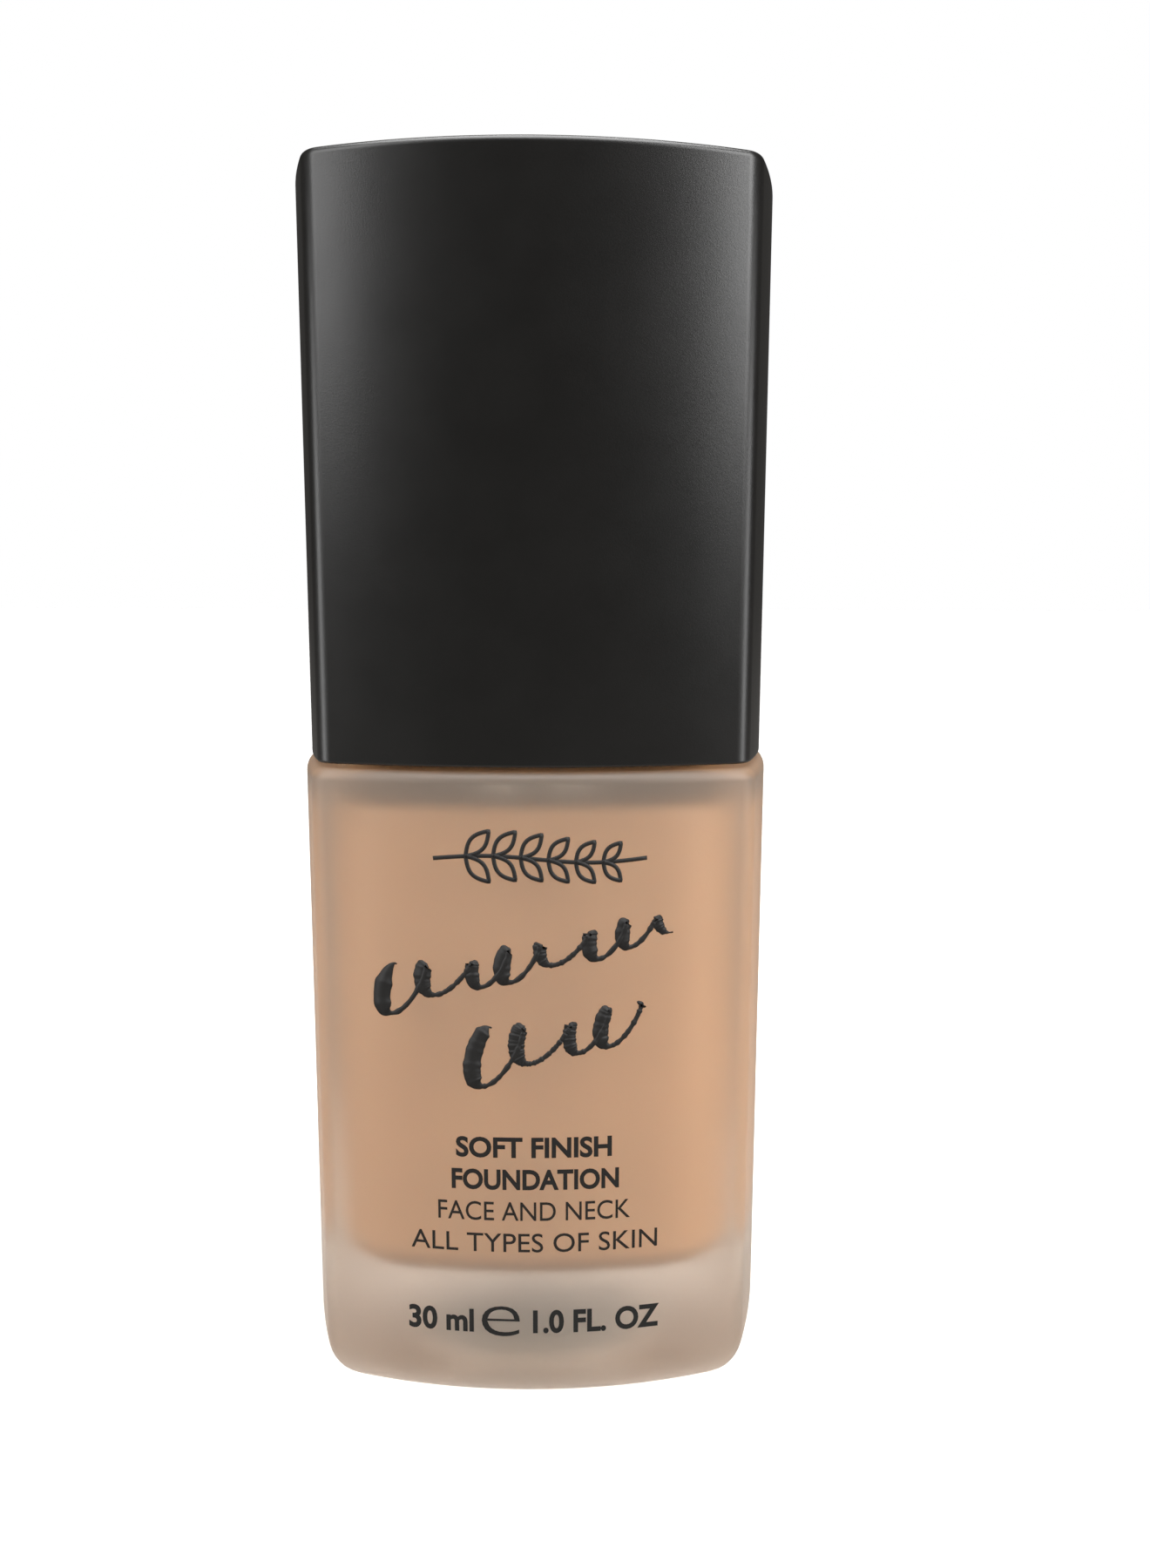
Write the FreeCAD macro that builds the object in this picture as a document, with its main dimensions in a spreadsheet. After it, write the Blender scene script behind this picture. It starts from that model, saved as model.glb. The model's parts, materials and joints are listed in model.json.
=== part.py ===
import FreeCAD, Part
import math
import os
import Sketcher

# A pillow-sided glass foundation bottle with a screw-on treatment pump and a
# tall pull-off overcap. Millimetres, +Z up, origin under the middle of the base.
# Every sub-part is modelled on its own lowest level, or about its axis or centre
# for the nozzle and the ball, and is then lifted to its seat by its Placement,
# which is bound to the sheet like every other size.

DIMENSIONS = {
    # glass bottle
    "bottle_width": 37.7,
    "body_height": 49.8,
    "face_bulge": 2.75,
    "corner_round": 1.6,
    "shoulder_round": 0.9,
    "heel_round": 4.6,
    "side_wall": 3.8,
    "base_thickness": 10.0,
    "roof_thickness": 2.8,
    "cavity_bulge": 1.1,
    "cavity_corner": 3.0,
    "cavity_heel": 2.0,
    "recess_radius": 9.0,
    "recess_depth": 0.7,
    # neck finish
    "neck_radius": 7.8,
    "neck_height": 13.2,
    "neck_bore": 5.0,
    "neck_lip": 0.5,
    "thread_depth": 0.95,
    "thread_pitch": 3.18,
    "thread_turns": 1.75,
    "thread_root": 1.3,
    "thread_crest": 0.5,
    "thread_below_lip": 1.6,
    "thread_clearance": 0.3,
    # contents and base label
    "roof_round": 1.2,
    "liquid_gap": 0.06,
    "pump_well": 0.35,
    "label_thickness": 0.15,
    "label_margin": 0.5,
    # pump housing and valves
    "running_gap": 0.05,
    "gasket_thickness": 1.0,
    "gasket_inset": 0.2,
    "flange_thickness": 1.2,
    "housing_clearance": 0.5,
    "housing_wall": 0.8,
    "socket_wall": 0.8,
    "socket_depth": 4.0,
    "spring_length": 11.5,
    "spring_turns": 6.5,
    "spring_wire": 0.3,
    "spring_gap": 0.9,
    "retainer_thickness": 0.8,
    "retainer_bore": 1.1,
    "ball_radius": 1.6,
    "ball_seat": 0.01,
    "ball_side_gap": 0.4,
    "ball_lift": 0.8,
    "inlet_radius": 1.1,
    "inlet_length": 1.0,
    "tube_wall": 0.5,
    "tube_radius": 1.6,
    "tube_floor_gap": 0.6,
    "vent_radius": 0.35,
    # lock ring
    "ring_hub_wall": 0.9,
    "ring_flange_width": 1.5,
    "ring_flange_thickness": 0.7,
    "ring_depth": 4.5,
    # piston and stem
    "stem_radius": 2.1,
    "stem_wall": 0.6,
    "port_width": 1.0,
    "port_height": 0.8,
    "piston_fit": 0.04,
    "piston_height": 4.5,
    "piston_waist": 0.6,
    "piston_float": 0.6,
    "rod_head": 1.1,
    "rod_spigot": 2.5,
    "rod_pin": 2.5,
    "press_stroke": 4.0,
    "press_gap": 0.6,
    # screw collar and its shell
    "collar_gap": 0.7,
    "collar_wall": 1.35,
    "ledge_thickness": 1.2,
    "shell_wall": 0.6,
    "rim_round": 0.5,
    # actuator
    "actuator_radius": 7.8,
    "actuator_clearance": 0.3,
    "actuator_wall": 1.1,
    "actuator_overlap": 1.8,
    "actuator_top": 1.5,
    "actuator_round": 1.2,
    "finger_dish": 0.8,
    "dish_radius": 6.0,
    "core_wall": 1.3,
    "spout_radius": 2.2,
    "spout_setback": 0.5,
    "channel_radius": 0.8,
    "channel_wall": 0.5,
    "nozzle_radius": 1.4,
    "nozzle_length": 3.0,
    "orifice_radius": 0.55,
    # overcap
    "cap_setback": 0.4,
    "cap_gap": 0.3,
    "cap_height": 42.4,
    "cap_wall": 1.6,
    "cap_top_wall": 2.2,
    "cap_edge_round": 0.6,
    "cap_head_gap": 1.2,
    "grip_clearance": 0.04,
    "rib_depth": 0.5,
    "rib_width": 1.2,
    "rib_count": 12,
    "sleeve_wall": 1.2,
    "sleeve_height": 20.0,
    "liner_recess": 0.8,
    "liner_flange": 1.2,
}

NUDGE = 0.01  # how far a cut runs past the face that it starts from

doc = FreeCAD.newDocument("foundation_bottle")
sheet = doc.addObject("Spreadsheet::Sheet", "Dims")
for row, (alias, size) in enumerate(DIMENSIONS.items(), start=1):
    sheet.set(f"A{row}", alias)
    sheet.set(f"B{row}", str(size))
    sheet.setAlias(f"B{row}", alias)
doc.recompute()

# Radii and levels worked out from the sheet, as expressions that stay bound to it.
THREAD_CREST_R = "(Dims.neck_radius + Dims.thread_depth)"
COLLAR_BORE_R = f"({THREAD_CREST_R} + Dims.thread_clearance)"
COLLAR_R = f"({COLLAR_BORE_R} + Dims.collar_wall)"
SHELL_R = f"({COLLAR_R} + Dims.shell_wall)"
MOUTH_R = "(Dims.actuator_radius + Dims.actuator_clearance)"
RIB_R = f"({SHELL_R} + Dims.grip_clearance)"
SLEEVE_BORE_R = f"({RIB_R} + Dims.rib_depth)"
SLEEVE_R = f"({SLEEVE_BORE_R} + Dims.sleeve_wall)"
HOUSING_R = "(Dims.neck_bore - Dims.housing_clearance)"
BARREL_R = f"({HOUSING_R} - Dims.housing_wall)"
PISTON_R = f"({BARREL_R} - Dims.piston_fit)"
FLANGE_R = "(Dims.neck_radius - Dims.gasket_inset)"
HUB_R = f"({HOUSING_R} + Dims.ring_hub_wall)"
RING_FLANGE_R = f"({HUB_R} + Dims.ring_flange_width)"
STEM_BORE_R = "(Dims.stem_radius - Dims.stem_wall)"
STEM_SLIDE_R = "(Dims.stem_radius + Dims.running_gap)"
CORE_R = "(Dims.stem_radius + Dims.core_wall)"
SPRING_R = f"({BARREL_R} - Dims.spring_gap - Dims.spring_wire)"
PIN_R = f"({SPRING_R} - Dims.spring_wire - Dims.running_gap)"
BALL_CHAMBER_R = "(Dims.ball_radius + Dims.ball_side_gap)"
SOCKET_R = "(Dims.tube_radius + Dims.socket_wall)"
CAVITY_WIDTH = "(Dims.bottle_width - 2 * Dims.side_wall)"
CAP_WIDTH = "(Dims.bottle_width - 2 * Dims.cap_setback)"
CAP_BORE_WIDTH = f"({CAP_WIDTH} - 2 * Dims.cap_wall)"

SHOULDER = "Dims.body_height"
CAVITY_ROOF = f"({SHOULDER} - Dims.roof_thickness)"
NECK_TOP = f"({SHOULDER} + Dims.neck_height)"
FLANGE_BOTTOM = f"({NECK_TOP} + Dims.gasket_thickness)"
FLANGE_TOP = f"({FLANGE_BOTTOM} + Dims.flange_thickness)"
LEDGE_BOTTOM = f"({FLANGE_TOP} + Dims.running_gap)"
LEDGE_TOP = f"({LEDGE_BOTTOM} + Dims.ledge_thickness)"
RING_TOP = f"({LEDGE_TOP} + Dims.running_gap + Dims.ring_flange_thickness)"
RING_BOTTOM = f"({FLANGE_TOP} - Dims.ring_depth)"
ACTUATOR_BOTTOM = f"({RING_TOP} + Dims.press_gap + Dims.press_stroke)"
RIM_TOP = f"({ACTUATOR_BOTTOM} + Dims.actuator_overlap)"
SPOUT_AXIS = f"({RIM_TOP} + Dims.press_stroke + Dims.press_gap + Dims.spout_radius)"
STEM_TOP = f"({SPOUT_AXIS} - Dims.channel_radius - Dims.channel_wall)"
CAP_BOTTOM = f"({SHOULDER} + Dims.cap_gap)"
CAP_CEILING = f"({CAP_BOTTOM} + Dims.cap_height - Dims.cap_top_wall)"
ACTUATOR_TOP = f"({CAP_CEILING} - Dims.cap_head_gap)"
PISTON_TOP = f"({RING_BOTTOM} - Dims.piston_float - Dims.running_gap)"
PISTON_BOTTOM = f"({PISTON_TOP} - Dims.piston_height)"
ROD_TOP = f"({PISTON_BOTTOM} - Dims.running_gap)"
ROD_BOTTOM = f"({ROD_TOP} - Dims.rod_head)"
RETAINER_TOP = f"({ROD_BOTTOM} - Dims.spring_length)"
RETAINER_BOTTOM = f"({RETAINER_TOP} - Dims.retainer_thickness)"
BALL_CENTRE = f"({RETAINER_BOTTOM} - Dims.running_gap - Dims.ball_lift - Dims.ball_radius)"
SEAT_LEVEL = (
    f"({BALL_CENTRE} - Dims.ball_seat - Dims.ball_radius * sqrt(2) + Dims.inlet_radius)"
)
TUBE_TOP = f"({SEAT_LEVEL} - Dims.inlet_length)"
SOCKET_BOTTOM = f"({TUBE_TOP} - Dims.socket_depth)"
TUBE_BOTTOM = "(Dims.base_thickness + Dims.tube_floor_gap)"

HUB_HEIGHT = f"({LEDGE_TOP} + Dims.running_gap - {FLANGE_TOP})"


def value(expression):
    """The number that an expression on the sheet comes to."""
    return float(sheet.evalExpression(str(expression)))


def plane(body, role):
    """One of the body's own origin planes, found by its role."""
    return next(item for item in body.Origin.OriginFeatures if item.Role == role)


def new_body(name, seat="0"):
    """A body whose lowest level is lifted to the seat."""
    body = doc.addObject("PartDesign::Body", name)
    body.Label = name
    body.setExpression("Placement.Base.z", seat)
    return body


def new_sketch(body, name, role, level="0"):
    """A sketch on one of the body's origin planes, moved out along its normal."""
    sketch = body.newObject("Sketcher::SketchObject", name)
    sketch.AttachmentSupport = [(plane(body, role), "")]
    sketch.MapMode = "FlatFace"
    sketch.setExpression("AttachmentOffset.Base.z", level)
    return sketch


def bind(sketch, constraint, expression):
    """Adds a constraint whose size comes from the sheet."""
    index = sketch.addConstraint(constraint)
    sketch.setExpression(f"Constraints[{index}]", expression)


def hold_point(sketch, geometry, end, across, up):
    """Ties one sketch point to its two distances from the sketch's origin."""
    for kind, distance, axis in (("DistanceX", across, -2), ("DistanceY", up, -1)):
        size = value(distance)
        if abs(size) < 1e-9:
            sketch.addConstraint(Sketcher.Constraint("PointOnObject", geometry, end, axis))
        else:
            bind(sketch, Sketcher.Constraint(kind, -1, 1, geometry, end, size), distance)


def outline(body, name, points, role="XZ_Plane", level="0"):
    """A closed outline of straight lines through points given as expressions."""
    sketch = new_sketch(body, name, role, level)
    places = [FreeCAD.Vector(value(across), value(up), 0) for across, up in points]
    count = len(points)
    for index in range(count):
        line = Part.LineSegment(places[index], places[(index + 1) % count])
        sketch.addGeometry(line, False)
    for index in range(count):
        following = (index + 1) % count
        sketch.addConstraint(Sketcher.Constraint("Coincident", index, 2, following, 1))
    for index, (across, up) in enumerate(points):
        hold_point(sketch, index, 1, across, up)
    return sketch


def circle(body, name, radius, role="XY_Plane", level="0", across="0", up="0"):
    """A circle whose centre and radius are bound to the sheet."""
    sketch = new_sketch(body, name, role, level)
    centre = FreeCAD.Vector(value(across), value(up), 0)
    sketch.addGeometry(Part.Circle(centre, FreeCAD.Vector(0, 0, 1), value(radius)), False)
    bind(sketch, Sketcher.Constraint("Radius", 0, value(radius)), radius)
    hold_point(sketch, 0, 3, across, up)
    return sketch


def pillow(body, name, width, bulge, level="0"):
    """A square outline whose four sides are arcs that bulge out by the same amount.

    Each arc's radius is (half chord squared + bulge squared) / (2 bulge), and the
    half chord is half the width less the bulge.
    """
    sketch = new_sketch(body, name, "XY_Plane", level)
    radius = f"((({width} / 2 - {bulge}) ^ 2 + {bulge} ^ 2) / (2 * {bulge}))"
    offset = f"({radius} - {width} / 2)"
    arc_radius = value(radius)
    arc_offset = value(offset)
    half_angle = math.asin((value(width) / 2 - value(bulge)) / arc_radius)
    for side in range(4):
        facing = side * math.pi / 2
        centre = FreeCAD.Vector(-math.cos(facing), -math.sin(facing), 0) * arc_offset
        ring = Part.Circle(centre, FreeCAD.Vector(0, 0, 1), arc_radius)
        arc = Part.ArcOfCircle(ring, facing - half_angle, facing + half_angle)
        sketch.addGeometry(arc, False)
    for side in range(4):
        following = (side + 1) % 4
        sketch.addConstraint(Sketcher.Constraint("Coincident", side, 2, following, 1))
        bind(sketch, Sketcher.Constraint("Radius", side, arc_radius), radius)
        axis = -1 if side % 2 == 0 else -2
        sketch.addConstraint(Sketcher.Constraint("PointOnObject", side, 3, axis))
        kind = "DistanceX" if side % 2 == 0 else "DistanceY"
        ends = (side, 3, -1, 1) if side < 2 else (-1, 1, side, 3)
        bind(sketch, Sketcher.Constraint(kind, *ends, arc_offset), offset)
    return sketch


def from_profile(body, kind, name, profile):
    """A PartDesign feature of a kind that is made from a sketch."""
    feature = body.newObject(f"PartDesign::{kind}", name)
    feature.Profile = profile
    return feature


def pad(body, profile, length, name="pad"):
    """Raises a profile by a length."""
    feature = from_profile(body, "Pad", name, profile)
    feature.setExpression("Length", length)
    return feature


def pocket(body, profile, length, name="pocket", along=False):
    """Cuts a profile against its sketch's normal, or along the normal."""
    feature = from_profile(body, "Pocket", name, profile)
    feature.Reversed = along
    feature.setExpression("Length", length)
    return feature


def turn(body, points, name="turned", cut=False):
    """Revolves an outline in the XZ plane about the Z axis, as material or as a cut."""
    profile = outline(body, f"{name}_outline", points)
    feature = from_profile(body, "Groove" if cut else "Revolution", name, profile)
    feature.ReferenceAxis = (profile, ["V_Axis"])
    feature.Angle = 360.0
    return feature


def round_edges(body, feature, radius, chosen, name):
    """Fillets the edges of a feature that a test chooses."""
    doc.recompute()
    edges = [
        f"Edge{index}"
        for index, edge in enumerate(feature.Shape.Edges, start=1)
        if chosen(edge)
    ]
    if not edges:
        raise ValueError(f"{body.Label}: {name} found no edge to round")
    fillet = body.newObject("PartDesign::Fillet", name)
    fillet.Base = (feature, edges)
    fillet.setExpression("Radius", radius)
    return fillet


def upright(least_reach=0.0, most_reach=1e6):
    """A test for edges that only rise, at a distance from the axis within two radii."""

    def chosen(edge):
        box = edge.BoundBox
        reach = math.hypot(box.Center.x, box.Center.y)
        rises = edge.BoundBox.ZLength > 1.0 and box.XLength < 1e-4 and box.YLength < 1e-4
        return rises and least_reach <= reach <= most_reach

    return chosen


def level_edge(height, least_reach=0.0, most_reach=1e6):
    """A test for level edges at a height, whose far point lies within two radii."""

    def chosen(edge):
        box = edge.BoundBox
        reach = max(math.hypot(v.X, v.Y) for v in edge.Vertexes)
        level = abs(box.ZMin - height) < 1e-3 and abs(box.ZMax - height) < 1e-3
        return level and least_reach <= reach <= most_reach

    return chosen


def thread(body, name, root, crest, start):
    """A right-hand thread ridge that climbs from a start level, from root to crest."""
    half_root = "Dims.thread_root / 2"
    half_crest = "Dims.thread_crest / 2"
    profile = outline(
        body,
        f"{name}_outline",
        [
            (root, f"{start} - {half_root}"),
            (crest, f"{start} - {half_crest}"),
            (crest, f"{start} + {half_crest}"),
            (root, f"{start} + {half_root}"),
        ],
    )
    ridge = from_profile(body, "AdditiveHelix", name, profile)
    ridge.ReferenceAxis = (profile, ["V_Axis"])
    ridge.Mode = "pitch-turns-angle"
    ridge.setExpression("Pitch", "Dims.thread_pitch")
    ridge.setExpression("Turns", "Dims.thread_turns")
    return ridge


# Both threads climb from the same side of the axis. The neck's ridge ends a set
# distance below the lip, and the collar's ridge runs half a pitch below it.
THREAD_START = (
    f"({NECK_TOP} - Dims.thread_below_lip - Dims.thread_pitch * Dims.thread_turns"
    " - Dims.thread_root / 2)"
)
COLLAR_THREAD_START = f"({THREAD_START} - Dims.thread_pitch / 2)"


def make_glass_bottle():
    body = new_body("glass_bottle")
    block = pad(body, pillow(body, "body_outline", "Dims.bottle_width", "Dims.face_bulge"), SHOULDER)
    corners = round_edges(body, block, "Dims.corner_round", upright(), "corners")
    heel = round_edges(body, corners, "Dims.heel_round", level_edge(0.0), "heel")
    at_shoulder = level_edge(value(SHOULDER))
    round_edges(body, heel, "Dims.shoulder_round", at_shoulder, "shoulder")
    turn(
        body,
        [
            ("0", f"{SHOULDER} - Dims.roof_thickness / 2"),
            ("Dims.neck_radius", f"{SHOULDER} - Dims.roof_thickness / 2"),
            ("Dims.neck_radius", f"{NECK_TOP} - Dims.neck_lip"),
            ("Dims.neck_radius - Dims.neck_lip", NECK_TOP),
            ("0", NECK_TOP),
        ],
        "neck",
    )
    # The bead above the shoulder, by which the bottle is held while its neck is formed.
    turn(
        body,
        [
            ("Dims.neck_radius - Dims.neck_lip", f"{SHOULDER} - Dims.neck_lip"),
            (f"{THREAD_CREST_R} - Dims.thread_clearance", f"{SHOULDER} - Dims.neck_lip"),
            (f"{THREAD_CREST_R} - Dims.thread_clearance", f"{SHOULDER} + Dims.thread_crest"),
            ("Dims.neck_radius - Dims.neck_lip", f"{SHOULDER} + Dims.thread_depth + Dims.neck_lip"),
        ],
        "neck_foot",
    )
    thread(body, "neck_thread", "Dims.neck_radius - Dims.thread_crest", THREAD_CREST_R, THREAD_START)
    cavity = pocket(
        body,
        pillow(body, "cavity_outline", CAVITY_WIDTH, "Dims.cavity_bulge", CAVITY_ROOF),
        f"{CAVITY_ROOF} - Dims.base_thickness",
        "cavity",
    )
    half = value(CAVITY_WIDTH) / 2
    cavity_corners = upright(half, half * math.sqrt(2))
    rounded = round_edges(body, cavity, "Dims.cavity_corner", cavity_corners, "cavity_corners")
    floor = level_edge(value("Dims.base_thickness"))
    rounded = round_edges(body, rounded, "Dims.cavity_heel", floor, "cavity_heel")
    # The roof's edge keeps clear of the neck's bore.
    roof = level_edge(value(CAVITY_ROOF), least_reach=value("Dims.neck_bore") * 1.5)
    round_edges(body, rounded, "Dims.roof_round", roof, "cavity_shoulder")
    pocket(
        body,
        circle(body, "bore_outline", "Dims.neck_bore", level=NECK_TOP),
        f"{NECK_TOP} - {CAVITY_ROOF} + {NUDGE}",
        "neck_bore",
    )
    pocket(
        body,
        circle(body, "recess_outline", "Dims.recess_radius"),
        "Dims.recess_depth",
        "base_recess",
        along=True,
    )
    return body


def make_base_label():
    body = new_body("base_label", "Dims.recess_depth - Dims.label_thickness")
    disc = circle(body, "label_outline", "Dims.recess_radius - Dims.label_margin")
    pad(body, disc, "Dims.label_thickness")
    return body


def make_foundation_liquid():
    """The filling, a little clear of the glass, with a well for the pump. It stops
    where the rounding under the bottle's roof begins."""
    bottom = "(Dims.base_thickness + Dims.liquid_gap)"
    body = new_body("foundation_liquid", bottom)
    height = f"({CAVITY_ROOF} - Dims.roof_round - {bottom})"
    width = f"({CAVITY_WIDTH} - 2 * Dims.liquid_gap)"
    block = pad(body, pillow(body, "fill_outline", width, "Dims.cavity_bulge"), height)
    rounded = round_edges(body, block, "Dims.cavity_corner", upright(), "fill_corners")
    round_edges(body, rounded, "Dims.cavity_heel", level_edge(0.0), "fill_heel")
    well = f"({HOUSING_R} + Dims.pump_well)"
    socket_well = f"({SOCKET_R} + Dims.pump_well)"
    tube_well = "(Dims.tube_radius + Dims.pump_well)"
    taper_level = f"({TUBE_TOP} - Dims.pump_well - {bottom})"
    socket_level = f"({SOCKET_BOTTOM} - Dims.pump_well - {bottom})"
    turn(
        body,
        [
            ("0", f"-{NUDGE}"),
            (tube_well, f"-{NUDGE}"),
            (tube_well, socket_level),
            (socket_well, socket_level),
            (socket_well, taper_level),
            (well, f"{taper_level} + {well} - {socket_well}"),
            (well, f"{height} + {NUDGE}"),
            ("0", f"{height} + {NUDGE}"),
        ],
        "pump_well",
        cut=True,
    )
    return body


def make_neck_gasket():
    body = new_body("neck_gasket", NECK_TOP)
    thickness = "Dims.gasket_thickness"
    turn(
        body,
        [
            (f"{HOUSING_R} + Dims.running_gap", "0"),
            (FLANGE_R, "0"),
            (FLANGE_R, thickness),
            (f"{HOUSING_R} + Dims.running_gap", thickness),
        ],
        "ring",
    )
    return body


def make_pump_housing():
    """A flanged barrel that narrows to the ball chamber and the dip tube's socket."""
    bottom = SOCKET_BOTTOM
    body = new_body("pump_housing", bottom)
    taper_top = f"({RETAINER_BOTTOM} - {bottom})"
    taper_bottom = f"({taper_top} - {HOUSING_R} + {SOCKET_R})"
    shelf = f"({FLANGE_BOTTOM} - {bottom})"
    top = f"({FLANGE_TOP} - {bottom})"
    seat = f"({SEAT_LEVEL} - {bottom})"
    chamber = f"({seat} + {BALL_CHAMBER_R} - Dims.inlet_radius)"
    turn(
        body,
        [
            ("Dims.tube_radius", "0"),
            (SOCKET_R, "0"),
            (SOCKET_R, taper_bottom),
            (HOUSING_R, taper_top),
            (HOUSING_R, shelf),
            (FLANGE_R, shelf),
            (FLANGE_R, top),
            (BARREL_R, top),
            (BARREL_R, f"{RETAINER_BOTTOM} - {bottom}"),
            (BALL_CHAMBER_R, f"{RETAINER_BOTTOM} - {bottom}"),
            (BALL_CHAMBER_R, chamber),
            ("Dims.inlet_radius", seat),
            ("Dims.inlet_radius", f"{TUBE_TOP} - {bottom}"),
            ("Dims.tube_radius", f"{TUBE_TOP} - {bottom}"),
        ],
        "barrel",
    )
    # The vent lets air into the bottle as the pump empties it.
    vent = circle(
        body,
        "vent_outline",
        "Dims.vent_radius",
        "XZ_Plane",
        up=f"{RING_BOTTOM} - {bottom} - 2 * Dims.vent_radius",
    )
    pocket(body, vent, f"{HOUSING_R} + Dims.housing_wall", "vent")
    return body


def make_dip_tube():
    body = new_body("dip_tube", TUBE_BOTTOM)
    length = f"({TUBE_TOP} - {TUBE_BOTTOM})"
    bore = "(Dims.tube_radius - Dims.tube_wall)"
    turn(
        body,
        [
            (bore, "0"),
            ("Dims.tube_radius", "0"),
            ("Dims.tube_radius", length),
            (bore, length),
        ],
        "tube",
    )
    return body


def make_ball_retainer():
    """The disc that keeps the ball in its chamber and carries the spring."""
    body = new_body("ball_retainer", RETAINER_BOTTOM)
    turn(
        body,
        [
            ("Dims.retainer_bore", "0"),
            (BARREL_R, "0"),
            (BARREL_R, "Dims.retainer_thickness"),
            ("Dims.retainer_bore", "Dims.retainer_thickness"),
        ],
        "disc",
    )
    return body


def make_inlet_ball():
    ball = doc.addObject("Part::Sphere", "inlet_ball")
    ball.Label = "inlet_ball"
    ball.setExpression("Radius", "Dims.ball_radius")
    ball.setExpression("Placement.Base.z", BALL_CENTRE)
    return ball


def make_return_spring():
    """A wire coil between the ball retainer and the rod's head, with its wire's
    radius left at each end, so that the coil touches both."""
    body = new_body("return_spring", RETAINER_TOP)
    wire = circle(
        body,
        "wire_outline",
        "Dims.spring_wire",
        "XZ_Plane",
        across=SPRING_R,
        up="Dims.spring_wire",
    )
    coil = from_profile(body, "AdditiveHelix", "coil", wire)
    coil.ReferenceAxis = (wire, ["V_Axis"])
    coil.Mode = "height-turns-angle"
    coil.setExpression("Height", "Dims.spring_length - 2 * Dims.spring_wire")
    coil.setExpression("Turns", "Dims.spring_turns")
    return body


def make_lock_ring():
    """The flanged bush that holds the piston in and the screw collar on."""
    body = new_body("lock_ring", RING_BOTTOM)
    hub_bottom = "Dims.ring_depth"
    hub_top = f"({hub_bottom} + {HUB_HEIGHT})"
    top = f"({hub_top} + Dims.ring_flange_thickness)"
    turn(
        body,
        [
            (STEM_SLIDE_R, "0"),
            (BARREL_R, "0"),
            (BARREL_R, hub_bottom),
            (HUB_R, hub_bottom),
            (HUB_R, hub_top),
            (RING_FLANGE_R, hub_top),
            (RING_FLANGE_R, top),
            (STEM_SLIDE_R, top),
        ],
        "bush",
    )
    return body


def make_stem():
    """The hollow stem from the rod's head up into the actuator, with its ports."""
    body = new_body("stem", ROD_TOP)
    length = f"({STEM_TOP} - {ROD_TOP})"
    turn(
        body,
        [
            (STEM_BORE_R, "0"),
            ("Dims.stem_radius", "0"),
            ("Dims.stem_radius", length),
            (STEM_BORE_R, length),
        ],
        "tube",
    )
    for name, role in (("port_x", "YZ_Plane"), ("port_y", "XZ_Plane")):
        half = "Dims.port_width / 2"
        low = "(Dims.port_height / 2 + Dims.running_gap)"
        slot = outline(
            body,
            f"{name}_outline",
            [
                (f"-{half}", low),
                (half, low),
                (half, f"{low} + Dims.port_height"),
                (f"-{half}", f"{low} + Dims.port_height"),
            ],
            role,
        )
        cut = pocket(body, slot, "4 * Dims.stem_radius", name)
        cut.Midplane = True
    return body


def make_piston_rod():
    """The plug under the stem: a head that closes the ports and pushes the spring."""
    body = new_body("piston_rod", f"{ROD_BOTTOM} - Dims.rod_pin")
    head = f"({PISTON_R} - Dims.spring_wire)"
    low = "Dims.rod_pin"
    high = "(Dims.rod_pin + Dims.rod_head)"
    top = f"({high} + Dims.rod_spigot)"
    turn(
        body,
        [
            ("0", "0"),
            (f"{PIN_R} - Dims.running_gap * 4", "0"),
            (PIN_R, "Dims.running_gap * 4"),
            (PIN_R, low),
            (head, low),
            (head, high),
            (STEM_BORE_R, high),
            # The spigot stops under the ports and leaves them a way up the bore.
            (STEM_BORE_R, f"{high} + Dims.port_height / 2"),
            (f"{STEM_BORE_R} / 2", f"{high} + Dims.port_height / 2"),
            (f"{STEM_BORE_R} / 3", top),
            ("0", top),
        ],
        "plug",
    )
    return body


def make_piston_seal():
    """A double-lipped piston with a thinner waist between its lips."""
    body = new_body("piston_seal", PISTON_BOTTOM)
    lip = "(Dims.piston_height / 4)"
    waist = f"({PISTON_R} - Dims.piston_waist)"
    turn(
        body,
        [
            (STEM_SLIDE_R, "0"),
            (waist, "0"),
            (PISTON_R, "Dims.running_gap * 4"),
            (PISTON_R, lip),
            (waist, f"{lip} + Dims.piston_waist / 2"),
            (waist, f"Dims.piston_height - {lip} - Dims.piston_waist / 2"),
            (PISTON_R, f"Dims.piston_height - {lip}"),
            (PISTON_R, "Dims.piston_height - Dims.running_gap * 4"),
            (waist, "Dims.piston_height"),
            (STEM_SLIDE_R, "Dims.piston_height"),
        ],
        "piston",
    )
    return body


def make_screw_collar():
    """The threaded closure: a skirt round the neck and a ledge over the flange."""
    bottom = f"({SHOULDER} + Dims.collar_gap)"
    body = new_body("screw_collar", bottom)
    ledge = f"({LEDGE_BOTTOM} - {bottom})"
    top = f"({LEDGE_TOP} - {bottom})"
    turn(
        body,
        [
            (COLLAR_BORE_R, "0"),
            (COLLAR_R, "0"),
            (COLLAR_R, top),
            (f"{HUB_R} + Dims.running_gap", top),
            (f"{HUB_R} + Dims.running_gap", ledge),
            (COLLAR_BORE_R, ledge),
        ],
        "skirt",
    )
    crest = f"({COLLAR_BORE_R} - Dims.thread_depth)"
    root = f"({COLLAR_BORE_R} + Dims.thread_crest)"
    thread(body, "collar_thread", root, crest, f"({COLLAR_THREAD_START} - {bottom})")
    return body


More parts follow.
